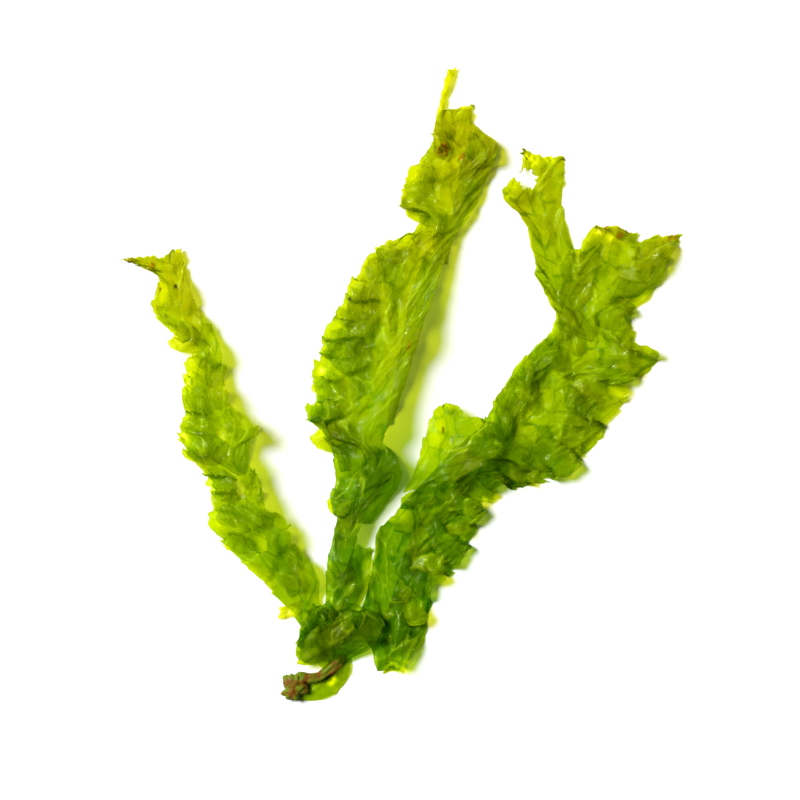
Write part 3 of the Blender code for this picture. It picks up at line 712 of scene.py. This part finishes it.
def add_detail(blade, points, run, across, half_width, joined=None):
    """Small ruffles towards the margins, and crumpled facets all over, on a sheet's middle surface."""
    seed = blade["seed"]
    place = across * half_width
    quiet = np.ones_like(run)
    if joined:
        quiet = smooth_step(0, DETAIL_FADE, run)
    elif blade.get("joined_tip"):
        quiet = smooth_step(0, DETAIL_FADE, run.max() - run)
    for ruffle in blade.get("ruffles", RUFFLES):
        points = ruffled(blade, points, run, across, half_width, ruffle, quiet)
    normal = normals_of(points)
    facets = 0.0
    for height, longest, k in CRUMPLES:
        facets = facets + height * creases(seed + k, run, place, longest, CRUMPLE_WAVES)
    return points + (facets * quiet)[:, :, None] * normal


def flap_blade(number, lift, thickening, age, margins):
    """A blade for a small flap, with only the largest of the fronds' ruffles, on both margins."""
    return {
        "margins": margins,
        "lean": 1.0,
        "rib": [(0, 0), (1, 0)],
        "clearance": [(0, 0.3), (0.4, lift), (1, lift)],
        "frill": ([(0, 0), (0.5, 0.7), (1, 1.0)], [(0, 0), (0.5, 0.7), (1, 1.0)]),
        "seed": 200 + 13 * number,
        "folds": 0.3,
        "ruffles": RUFFLES[:1],
        "thickening": [(0, thickening), (1, thickening)],
        "age": [(0, age), (1, age)],
    }


def margin_petals(part):
    """The small flaps that overlap one another along a frond's frilled margins, as in FLAPS."""
    blade = BLADES[part]
    rng = np.random.default_rng(400 + blade["seed"])
    lefts, rights = (np.array(side, float) for side in zip(*blade["margins"]))
    length = np.linalg.norm(np.diff((lefts + rights) / 2, axis=0), axis=1).sum()
    petals = []
    for side, first, last in PETALS.get(part, []):
        for share in np.arange(first, last, PETAL_PITCH / length):
            ahead = min(share + rng.uniform(*PETAL_STEP) / length, PETAL_LAST)
            places = np.array((share, ahead))
            left, right = smooth_curve(lefts, places), smooth_curve(rights, places)
            reach = np.array((rng.uniform(*PETAL_ROOT), PETAL_REACH))[:, None] * side
            root, tip = (left + right) / 2 + reach * (right - left) / 2
            axis = tip - root
            aside = np.array((-axis[1], axis[0]))
            widths = np.array(PETAL_WIDTHS) * rng.uniform(*PETAL_SPREAD)
            margins = [(root + along * axis + width * aside, root + along * axis - width * aside)
                       for along, width in zip(PETAL_PLACES, widths)]
            age = np.interp(share, *zip(*blade["age"]))
            petals.append((rng.uniform(*PETAL_LIFT), rng.uniform(*PETAL_THICKENING), age, margins))
    return petals


def grid_faces(rows, columns):
    """The corner numbers of a grid's faces, for points numbered row by row."""
    start = np.arange(rows)[:, None] * (columns + 1) + np.arange(columns)
    return np.stack((start, start + 1, start + columns + 2, start + columns + 1), axis=-1).reshape(-1, 4)


def outside_holes(points, faces, holes, seed):
    """Which faces stay when holes with torn rims, (x, y, half width, half length, lean), are cut."""
    x, y = points[faces].mean(axis=1)[:, :2].T
    stay = np.ones(len(faces), bool)
    for hole_x, hole_y, half_width, half_length, lean in holes:
        dx, dy = x - hole_x, y - hole_y
        across = (dx * math.cos(lean) + dy * math.sin(lean)) / half_width
        along = (dy * math.cos(lean) - dx * math.sin(lean)) / half_length
        rim = 1 + 0.5 * noise(seed + 90, x / 2.2, y / 2.2)
        stay &= across**2 + along**2 > rim**2
    return stay


def blots(points, spots):
    """A value of 1 in the middle of each spot (x, y, radius), which fades to 0 at its rim."""
    total = np.zeros(len(points))
    for x, y, radius in spots:
        away = np.hypot(points[:, 0] - x, points[:, 1] - y) / radius
        total = np.maximum(total, 1 - smooth_step(0.3, 1.0, away))
    return total


def cell_edges(seed, x, y, spacing, width):
    """A value of 1 along the edges between irregular cells and 0 inside: a network of lines, like the creases
    of a crumpled sheet, along which highlight and shade are painted.
    """
    x = x / spacing + 0.5 * noise(seed + 1, x / (1.8 * spacing), y / (1.8 * spacing))
    y = y / spacing + 0.5 * noise(seed + 2, x / 1.8, y / (1.8 * spacing))
    cell_x, cell_y = np.floor(x).astype(np.int64), np.floor(y).astype(np.int64)
    nearest = np.full(x.shape, 9.0)
    second = np.full(x.shape, 9.0)
    for step_x in (-1, 0, 1):
        for step_y in (-1, 0, 1):
            mixed = scrambled(seed, cell_x + step_x, cell_y + step_y)
            place_x = cell_x + step_x + ((mixed >> 3) & 0xFFF) / 0xFFF
            place_y = cell_y + step_y + ((mixed >> 17) & 0xFFF) / 0xFFF
            away = np.hypot(x - place_x, y - place_y)
            second = np.minimum(second, np.maximum(nearest, away))
            nearest = np.minimum(nearest, away)
    return 1 - smooth_step(0.0, width / spacing, second - nearest)


def ridge_lines(points):
    """How sharply a grid of points bends at each of them, positive on a ridge and negative in a furrow."""
    padded = np.pad(points, ((1, 1), (1, 1), (0, 0)), mode="edge")
    around = (padded[2:, 1:-1] + padded[:-2, 1:-1] + padded[1:-1, 2:] + padded[1:-1, :-2]) / 4
    bend = -((around - points) * normals_of(points)).sum(axis=2)
    bend[[0, -1]] = 0
    bend[:, [0, -1]] = 0
    return bend


def vertex_values(points, normals, run_share, blade, lines):
    """What the tissue's material reads at each point of a piece."""
    x, y = points[:, 0], points[:, 1]
    patches = noise(blade["seed"] + 30, x / 9.0, y / 9.0)
    flecks = noise(blade["seed"] + 31, x / 1.0, y / 1.7) + 0.4 * noise(blade["seed"] + 32, x / 0.6, y / 0.6)
    rust = 0.75 * smooth_step(0.3, 0.8, blots(points, RUST_SPOTS) * (0.4 + 1.3 * flecks))
    return {
        # Steepness drives painted shade on steep tissue
        "steepness": 1 - np.abs(normals[:, 2]),
        "thickening": value_along(blade["thickening"], run_share)[:, 0] * (1 + 0.32 * patches),
        "age": np.clip(value_along(blade["age"], run_share)[:, 0] + 0.35 * patches, 0, 1),
        "rust": np.clip(rust, 0, 1),
        "speck": blots(points, BLACK_SPECKS),
        "bleached": blots(points, PALE_SPOTS) * smooth_step(-0.5, 0.1, flecks),
        # Lines of painted highlight and painted shade
        "pale_lines": lines[0],
        "dark_lines": lines[1],
    }


RUST_SPOTS = [
    (44.5, 161.0, 3.5), (50.5, 159.0, 2.2), (-49.5, 127.0, 2.6), (-43.0, 126.4, 1.8),
    (-40.5, 119.0, 1.8), (86.0, 135.5, 1.6), (92.0, 137.4, 3.4), (98.5, 136.0, 3.4),
    (104.5, 136.6, 1.6), (113.5, 134.9, 2.4), (103.8, 91.8, 2.2), (44.2, 77.2, 1.6), (34.8, 101.4, 1.8),
]
PALE_SPOTS = [
    (70.8, 158.4, 4.0), (76.6, 158.2, 2.6), (91.8, 136.2, 3.0), (94.5, 135.0, 2.4), (31.0, 6.4, 5.0),
    (11.4, 1.8, 2.6), (-31.5, 92.0, 3.4), (-31.8, 74.7, 3.4), (8.6, 94.6, 2.2), (7.4, 88.6, 1.8),
    (-0.9, 22.4, 2.6), (64.2, 147.3, 1.8), (30.6, 162.0, 2.2), (33.6, 168.3, 2.0), (-37.8, 105.0, 2.0),
]
BLACK_SPECKS = [
    (16.8, 116.3, 0.8), (-48.0, 126.5, 0.7), (-35.4, 120.2, 0.8), (-38.8, 111.4, 0.6),
    (-28.2, 76.0, 0.7),
]
HOLES = {
    "left_frond": [(-15.6, 57.6, 1.5, 4.4, 0.2), (-10.5, 44.4, 2.4, 5.0, 0.5), (-22.0, 75.3, 1.2, 2.4, 0.3)],
    "right_frond": [(57.2, 55.2, 1.7, 1.9, 0.0)],
    "inner_fork": [(69.6, 152.1, 3.0, 2.8, 0.0)],
}


def linear(hex_colour):
    """A linear colour with full alpha from an sRGB hex value such as #8FB400."""
    shares = [int(hex_colour[k:k + 2], 16) / 255 for k in (1, 3, 5)]
    return [c / 12.92 if c <= 0.04045 else ((c + 0.055) / 1.055) ** 2.4 for c in shares] + [1.0]


def add_node(tree, kind, inputs=(), **settings):
    """Adds a node with its settings, and sets each of its inputs or links it to another node's output."""
    node = tree.nodes.new(kind)
    for name, value in settings.items():
        setattr(node, name, value)
    for socket, value in dict(inputs).items():
        if isinstance(value, bpy.types.Node):
            value = value.outputs[0]
        if isinstance(value, bpy.types.NodeSocket):
            tree.links.new(value, node.inputs[socket])
        else:
            node.inputs[socket].default_value = value
    return node


def new_material(name):
    """An empty node material, as its name and node tree."""
    material = bpy.data.materials.new(name)
    material.use_nodes = True
    material.node_tree.nodes.clear()
    return material, material.node_tree


def tissue_material(settings):
    """Wet algal tissue: clear green sheets that darken where they overlap, with wet gloss, painted highlight
    along ridges and crease lines, and painted shade along furrows, other crease lines and steep tissue.
    """
    material, tree = new_material("wet_algal_tissue")

    def read(name):
        node = tree.nodes.new("ShaderNodeAttribute")
        node.attribute_name = name
        return node.outputs["Fac"]

    def sum_of(a, b, operation="ADD"):
        return add_node(tree, "ShaderNodeMath", {0: a, 1: b}, operation=operation)

    def mixed(share, a, b):
        return add_node(tree, "ShaderNodeMix", {0: share, 6: a, 7: b}, data_type="RGBA").outputs[2]

    place = tree.nodes.new("ShaderNodeTexCoord").outputs["Object"]
    grain = add_node(tree, "ShaderNodeTexNoise", {"Vector": place, "Scale": 1 / (1.6 * MM), "Detail": 3.0})
    pale_lines, dark_lines = read("pale_lines"), read("dark_lines")
    # Painted shade: steep tissue shows darker, for the longer path of light through it seen from above
    path = sum_of(sum_of(read("steepness"), settings.steep_shade, "MULTIPLY"), 1.0)
    # Painted shade: furrows and crease lines lengthen the path of light through the tissue, so they show
    # darker
    path = sum_of(path, sum_of(dark_lines, CREASE_SHADE_PATH, "MULTIPLY"))
    path = sum_of(path, read("thickening"), "MULTIPLY")
    path = sum_of(path, sum_of(grain, 0.5), "MULTIPLY")
    kept = sum_of(1.0, sum_of(read("bleached"), BLEACHING, "MULTIPLY"), "SUBTRACT")
    path = sum_of(path, kept, "MULTIPLY")

    clear = mixed(read("age"), linear(settings.young_clear), linear(settings.old_clear))
    through = add_node(tree, "ShaderNodeGamma", {"Color": clear, "Gamma": path})
    young = mixed(sum_of(sum_of(read("thickening"), 1.0, "SUBTRACT"), 0.6, "MULTIPLY"),
                  linear(settings.young_body), linear(settings.dense_body))
    body = mixed(read("age"), young, linear(settings.old_body))
    # Painted highlight: ridges and some crease lines are painted a pale yellow-green
    body = mixed(sum_of(pale_lines, RIDGE_HIGHLIGHT_COLOUR, "MULTIPLY"), body, linear(settings.ridge_highlight_body))
    # Painted shade: furrows and the other crease lines are painted the dense tissue's dark green
    body = mixed(sum_of(dark_lines, CREASE_SHADE_COLOUR, "MULTIPLY"), body, linear(settings.dense_body))
    body = mixed(read("rust"), body, linear(settings.rust))
    body = mixed(read("speck"), body, linear(SPECK_COLOUR))

    bump = add_node(tree, "ShaderNodeBump", {"Height": grain, "Distance": 0.3 * MM, "Strength": 0.5})
    skin = add_node(tree, "ShaderNodeBsdfPrincipled", {
        "Base Color": body, "Roughness": 0.3, "IOR": 1.38, "Normal": bump,
        "Specular IOR Level": 0.5, "Specular Tint": linear(GLOSS_COLOUR),
        "Coat Weight": 0.36, "Coat Roughness": 0.05,
    })
    glow = add_node(tree, "ShaderNodeBsdfTranslucent", {"Color": body, "Normal": bump})
    flesh = add_node(tree, "ShaderNodeMixShader", {0: 0.5, 1: skin, 2: glow})
    share = sum_of(sum_of(read("rust"), read("speck")), settings.cloudiness)
    # The painted highlight lines also scatter more of the light
    share = sum_of(sum_of(share, sum_of(pale_lines, RIDGE_HIGHLIGHT_CLOUD, "MULTIPLY")), kept, "MULTIPLY")
    clear_light = add_node(tree, "ShaderNodeBsdfTransparent", {"Color": through})
    surface = add_node(tree, "ShaderNodeMixShader", {0: share, 1: clear_light, 2: flesh})
    add_node(tree, "ShaderNodeOutputMaterial", {"Surface": surface})
    return material


def holdfast_material(settings):
    """Tough brown holdfast tissue: satin, wet, greenish in patches, with rusty flecks in a fine noise
    pattern.
    """
    material, tree = new_material("wet_holdfast_tissue")
    place = tree.nodes.new("ShaderNodeTexCoord").outputs["Object"]
    patches = add_node(tree, "ShaderNodeTexNoise", {"Vector": place, "Scale": 1 / (2.6 * MM), "Detail": 5.0})
    fibres = add_node(tree, "ShaderNodeTexNoise", {"Vector": place, "Scale": 1 / (0.6 * MM), "Detail": 4.0})
    share = add_node(tree, "ShaderNodeMapRange", {"Value": patches, "From Min": 0.38, "From Max": 0.56})
    rusty = add_node(tree, "ShaderNodeMapRange", {"Value": fibres, "From Min": 0.58, "From Max": 0.72})
    green = add_node(tree, "ShaderNodeMix", {
        0: share, 6: linear(settings.holdfast_brown), 7: linear(settings.holdfast_green),
    }, data_type="RGBA").outputs[2]
    colour = add_node(tree, "ShaderNodeMix", {
        0: rusty, 6: green, 7: linear(settings.rust),
    }, data_type="RGBA").outputs[2]
    bump = add_node(tree, "ShaderNodeBump", {"Height": fibres, "Distance": 0.3 * MM, "Strength": 0.8})
    skin = add_node(tree, "ShaderNodeBsdfPrincipled", {
        "Base Color": colour, "Roughness": 0.6, "IOR": 1.3, "Coat Weight": 0.06, "Coat Roughness": 0.15,
        "Normal": bump,
    })
    glow = add_node(tree, "ShaderNodeBsdfTranslucent", {"Color": colour, "Normal": bump})
    surface = add_node(tree, "ShaderNodeMixShader", {0: 0.4, 1: skin, 2: glow})
    add_node(tree, "ShaderNodeOutputMaterial", {"Surface": surface})
    return material


def paper_material(settings):
    """Matt white card: bright enough that it shows as pure white where no shadow falls."""
    material, tree = new_material("matt_white_card")
    place = tree.nodes.new("ShaderNodeTexCoord").outputs["Object"]
    grain = add_node(tree, "ShaderNodeTexNoise", {"Vector": place, "Scale": 1 / (0.8 * MM), "Detail": 2.0})
    bump = add_node(tree, "ShaderNodeBump", {"Height": grain, "Distance": 0.02 * MM, "Strength": 0.2})
    card = add_node(tree, "ShaderNodeBsdfPrincipled", {
        "Base Color": linear(settings.card), "Roughness": 0.9, "Specular IOR Level": 0.1, "Normal": bump,
    })
    add_node(tree, "ShaderNodeOutputMaterial", {"Surface": card})
    return material


def shared_material(name, make, settings):
    """The named material, made on first use."""
    return bpy.data.materials.get(name) or make(settings)


def make_piece(name, points, faces, values, material, nodes):
    """A piece of the object from its points in millimetres, which stands for the named CAD nodes."""
    mesh = bpy.data.meshes.new(name)
    mesh.from_pydata((points * MM).tolist(), [], faces)
    for key, numbers in values.items():
        mesh.attributes.new(key, "FLOAT", "POINT").data.foreach_set("value", numbers.astype(np.float32))
    mesh.shade_smooth()
    mesh.materials.append(material)
    piece = bpy.data.objects.new(name, mesh)
    bpy.context.scene.collection.objects.link(piece)
    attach(piece, BODY)
    if nodes:
        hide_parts(*nodes)
    return piece


def sheet_layer(blade, cell, holes=(), trunk=None):
    """One blade's points, faces and material values, and its middle surface for the forks that join it."""
    joined = None if trunk is None else (trunk, blade)
    points, run, across, half_width = sheet_points(blade, cell, joined)
    middle = (points.copy(), run, across, half_width)
    points = add_detail(blade, points, run, across, half_width, joined)
    points[:, :, 2] = np.maximum(points[:, :, 2], LOWEST)
    normals = normals_of(points).reshape(-1, 3)
    flat = points.reshape(-1, 3)
    faces = grid_faces(points.shape[0] - 1, points.shape[1] - 1)
    faces = faces[outside_holes(flat, faces, holes, blade["seed"])]
    bend = ridge_lines(points) / cell
    place = across * half_width
    seed = blade["seed"]
    # Painted highlight along ridges and some crease lines, painted shade along furrows and the other crease
    # lines
    here = smooth_step(-0.15, 0.25, noise(seed + 73, run / 11.0, place / 11.0))
    pale = cell_edges(seed + 71, run * 0.7, place, 5.5, 0.9) * here
    dark = cell_edges(seed + 75, run * 0.6, place, 4.6, 0.8) * (1 - here)
    lines = [
        np.maximum(line, smooth_step(*RIDGE_BEND, sign * bend)).ravel()
        for line, sign in ((pale, 1), (dark, -1))
    ]
    return (flat, faces, vertex_values(flat, normals, (run / run[-1, 0]).ravel(), blade, lines)), middle


def make_sheet(name, parts, settings, nodes):
    """A thin closed sheet from a blade, the blades that fork from its tip, and the flaps that grow on it."""
    cell = settings.cell / MM
    layers, trunk = [], None
    for part in parts:
        layer, middle = sheet_layer(BLADES[part], cell, HOLES.get(part, []), trunk)
        layers.append(layer)
        trunk = trunk or middle
    flaps = [(flap, cell) for flap in FLAPS.get(parts[0], {}).values()]
    for part in parts:
        flaps += [(petal, PETAL_CELL * cell) for petal in margin_petals(part)]
    for number, (flap, flap_cell) in enumerate(flaps):
        layers.append(sheet_layer(flap_blade(number + BLADES[parts[0]]["seed"], *flap), flap_cell)[0])
    sheets, face_lists, tracks = zip(*layers)
    starts = np.cumsum([0] + [len(sheet) for sheet in sheets])
    points = np.concatenate(sheets)
    faces = np.concatenate([numbers + start for numbers, start in zip(face_lists, starts)])
    values = {key: np.concatenate([track[key] for track in tracks]) for key in tracks[0]}
    used, faces = np.unique(faces, return_inverse=True)
    faces = faces.reshape(-1, 4)
    points, values = points[used], {key: v[used] for key, v in values.items()}
    tissue = shared_material("wet_algal_tissue", tissue_material, settings)
    piece = make_piece(name, points, faces.tolist(), values, tissue, nodes)
    if len(parts) > 1:
        weld(piece)
    solid = piece.modifiers.new("tissue", "SOLIDIFY")
    solid.thickness = settings.thickness
    solid.offset = 0.0
    return piece


def holdfast_knob():
    """The lobed disc that gripped the rock, as points and faces: a flattened ball with bumps."""
    turns, levels = 48, 20
    around = np.linspace(0, 2 * math.pi, turns, endpoint=False)[None, :]
    up = np.linspace(0.04, math.pi - 0.04, levels)[:, None]
    lobes = 1 + 0.16 * np.cos(5 * around + 0.7) + 0.1 * np.cos(3 * around)
    x, y = np.sin(up) * np.cos(around), np.sin(up) * np.sin(around)
    bumps = 1 + 0.3 * noise(301, x * 2.6 + 4, y * 2.6) + 0.14 * noise(302, x * 6, y * 6)
    z = np.cos(up) * (0.5 + 0.5 * bumps)
    points = np.stack(np.broadcast_arrays(x * lobes * bumps * KNOB[0], y * lobes * bumps * KNOB[1],
                                          KNOB[2] * (1 + z) / 2), axis=2)
    return closed_rings(points)


def closed_rings(points):
    """Points and faces of a closed body from rings of points, with a flat cap at each end."""
    rings, turns = points.shape[:2]
    start = np.arange(rings - 1)[:, None] * turns
    here, there = np.arange(turns), np.roll(np.arange(turns), -1)
    sides = np.stack((start + here, start + turns + here, start + turns + there, start + there), axis=-1)
    caps = [list(range(turns)), list(range((rings - 1) * turns, rings * turns))[::-1]]
    return points.reshape(-1, 3), sides.reshape(-1, 4).tolist() + caps


def holdfast_stalk():
    """The short stalk from the disc to the fronds: a flattened, ribbed band that widens at both ends."""
    rings, turns = 60, 32
    share = np.linspace(0, 1, rings)
    route = smooth_curve(STALK_ROUTE, share)
    reach = np.interp(share, *zip(*STALK_WIDTHS))[:, None] * np.minimum(1, 6 * (1.02 - share))[:, None] ** 0.5
    heading = np.gradient(route, axis=0)
    heading /= np.linalg.norm(heading, axis=1)[:, None]
    aside = np.stack((heading[:, 1], -heading[:, 0], np.zeros(rings)), axis=1)
    aside /= np.linalg.norm(aside, axis=1)[:, None]
    upward = np.cross(aside, heading)
    around = np.linspace(0, 2 * math.pi, turns, endpoint=False)[None, :]
    place = share[:, None]
    ribs = 1 + 0.14 * np.cos(5 * around + 5 * place) + 0.25 * noise(311, 9 * place, around * 1.2)
    side = (reach * ribs * np.cos(around))[:, :, None] * aside[:, None, :]
    rise = (STALK_FLATNESS * reach * ribs * np.sin(around))[:, :, None] * upward[:, None, :]
    points = route[:, None, :] + side + rise
    points[:, :, 2] = np.maximum(points[:, :, 2], LOWEST)
    return closed_rings(points)


def weld(piece):
    """Joins the points that a trunk and its forks share."""
    shape = bmesh.new()
    shape.from_mesh(piece.data)
    bmesh.ops.remove_doubles(shape, verts=shape.verts, dist=0.004 * MM)
    shape.to_mesh(piece.data)
    shape.free()


class SeaLettuceSettings(PropertyGroup):
    """Sizes and colours that a user would change."""

    cell: FloatProperty(name="Cell", description="Spacing of a frond's points",
                        default=0.54 * MM, min=0.2 * MM, subtype="DISTANCE", unit="LENGTH")
    thickness: FloatProperty(name="Tissue thickness", description="Thickness of a frond with its water",
                             default=0.24 * MM, min=0.05 * MM, subtype="DISTANCE", unit="LENGTH")
    # Painted shade on steep tissue, for the longer path through it seen from above
    steep_shade: FloatProperty(name="Edge density", description="How much darker steep tissue looks",
                                default=0.5, min=0.0, max=4.0)
    cloudiness: FloatProperty(name="Cloudiness", description="Share of light that the tissue scatters",
                              default=0.22, min=0.0, max=1.0, subtype="FACTOR")
    young_clear: StringProperty(name="Young tissue, light through", description="sRGB hex", default="#F1F82A")
    old_clear: StringProperty(name="Old tissue, light through", description="sRGB hex", default="#F6F73A")
    young_body: StringProperty(name="Young tissue", description="sRGB hex", default="#AACB04")
    dense_body: StringProperty(name="Dense tissue", description="sRGB hex", default="#648C08")
    old_body: StringProperty(name="Old tissue", description="sRGB hex", default="#D4D40F")
    # The colour of the painted highlight along ridges and crease lines
    ridge_highlight_body: StringProperty(name="Painted ridge highlight", description="sRGB hex", default="#D6F01E")
    rust: StringProperty(name="Rusty flecks", description="sRGB hex", default="#C0560C")
    holdfast_brown: StringProperty(name="Holdfast brown", description="sRGB hex", default="#8A5A0C")
    holdfast_green: StringProperty(name="Holdfast green", description="sRGB hex", default="#7A9A10")
    card: StringProperty(name="Card", description="sRGB hex", default="#F4F4F4")
    key_strength: FloatProperty(name="Key light", description="Strength of the soft light from the side",
                                default=5.8, min=0.0)
    fill: FloatProperty(name="Fill light", description="Strength of the light from all round", default=0.035,
                        min=0.0)


class SEALETTUCE_OT_fronds(Operator):
    """Makes the three long fronds, the right one with both arms of its fork"""

    bl_idname = "sea_lettuce.fronds"
    bl_label = "Fronds"

    def execute(self, context):
        settings = context.scene.sea_lettuce
        make_sheet("ruffled_left_frond", ["left_frond"], settings, ["left_frond"])
        make_sheet("ruffled_middle_frond", ["middle_frond"], settings, ["middle_frond"])
        forked = ["right_frond", "inner_fork", "outer_fork"]
        make_sheet("forked_right_frond", forked, settings, forked)
        return {"FINISHED"}


class SEALETTUCE_OT_lobes(Operator):
    """Makes the lobes and folds that lie on and beside the fronds"""

    bl_idname = "sea_lettuce.lobes"
    bl_label = "Lobes"

    def execute(self, context):
        settings = context.scene.sea_lettuce
        for name in ("side_lobe", "base_fold", "base_lobe"):
            make_sheet("ruffled_" + name, [name], settings, [name])
        return {"FINISHED"}


class SEALETTUCE_OT_holdfast(Operator):
    """Makes the holdfast: its lobed disc and the short stalk to the fronds"""

    bl_idname = "sea_lettuce.holdfast"
    bl_label = "Holdfast"

    def execute(self, context):
        settings = context.scene.sea_lettuce
        knob, faces = holdfast_knob()
        stalk, stalk_faces = holdfast_stalk()
        faces += [[corner + len(knob) for corner in face] for face in stalk_faces]
        material = shared_material("wet_holdfast_tissue", holdfast_material, settings)
        points = np.concatenate((knob, stalk))
        make_piece("lobed_holdfast", points, faces, {}, material, ["holdfast"])
        return {"FINISHED"}


class SEALETTUCE_OT_stage(Operator):
    """Makes the white card, the lights and the camera straight above"""

    bl_idname = "sea_lettuce.stage"
    bl_label = "Stage"

    def execute(self, context):
        scene = context.scene
        settings = scene.sea_lettuce
        centre = Vector(VIEW_CENTRE) * MM
        mesh = bpy.data.meshes.new("card")
        reach = CARD_REACH * MM
        mesh.from_pydata([(centre.x + x * reach, centre.y + y * reach, 0.0)
                          for x, y in ((-1, -1), (1, -1), (1, 1), (-1, 1))], [], [(0, 1, 2, 3)])
        mesh.materials.append(shared_material("matt_white_card", paper_material, settings))
        card = bpy.data.objects.new("card", mesh)
        scene.collection.objects.link(card)

        lamp = bpy.data.lights.new("window", "SUN")
        lamp.angle = math.radians(KEY_SOFTNESS)
        lamp.energy = settings.key_strength
        window = bpy.data.objects.new("window", lamp)
        from_centre = Vector(KEY_FROM).normalized()
        window.location = centre + from_centre * KEY_DISTANCE * MM
        window.rotation_euler = from_centre.to_track_quat("Z", "Y").to_euler()
        scene.collection.objects.link(window)

        world = bpy.data.worlds.new("studio")
        world.use_nodes = True
        world.node_tree.nodes["Background"].inputs["Color"].default_value = (1.0, 1.0, 1.0, 1.0)
        world.node_tree.nodes["Background"].inputs["Strength"].default_value = settings.fill
        scene.world = world

        view = bpy.data.cameras.new("above")
        view.lens = view.sensor_width * CAMERA_HEIGHT / VIEW_SPAN
        camera = bpy.data.objects.new("above", view)
        camera.location = centre + Vector((0.0, 0.0, CAMERA_HEIGHT * MM))
        scene.collection.objects.link(camera)
        scene.camera = camera
        scene.view_settings.view_transform = "Standard"
        scene.cycles.transparent_max_bounces = CLEAR_LAYERS
        return {"FINISHED"}


class SEALETTUCE_PT_build(Panel):
    """Lists the steps that build the sea lettuce"""

    bl_idname = "SEALETTUCE_PT_build"
    bl_label = "Sea lettuce"
    bl_space_type = "VIEW_3D"
    bl_region_type = "UI"
    bl_category = "Sea lettuce"

    def draw(self, context):
        layout = self.layout
        for name in SeaLettuceSettings.__annotations__:
            layout.prop(context.scene.sea_lettuce, name)
        for step in STEPS:
            layout.operator(step.bl_idname)


STEPS = (
    SEALETTUCE_OT_stage,
    SEALETTUCE_OT_holdfast,
    SEALETTUCE_OT_lobes,
    SEALETTUCE_OT_fronds,
)
CLASSES = (SeaLettuceSettings, *STEPS, SEALETTUCE_PT_build)


def register():
    for cls in CLASSES:
        bpy.utils.register_class(cls)
    bpy.types.Scene.sea_lettuce = PointerProperty(type=SeaLettuceSettings)


def unregister():
    del bpy.types.Scene.sea_lettuce
    for cls in reversed(CLASSES):
        bpy.utils.unregister_class(cls)


def main():
    register()
    bpy.ops.sea_lettuce.stage()
    bpy.ops.sea_lettuce.holdfast()
    bpy.ops.sea_lettuce.lobes()
    bpy.ops.sea_lettuce.fronds()


if __name__ == "__main__":
    main()
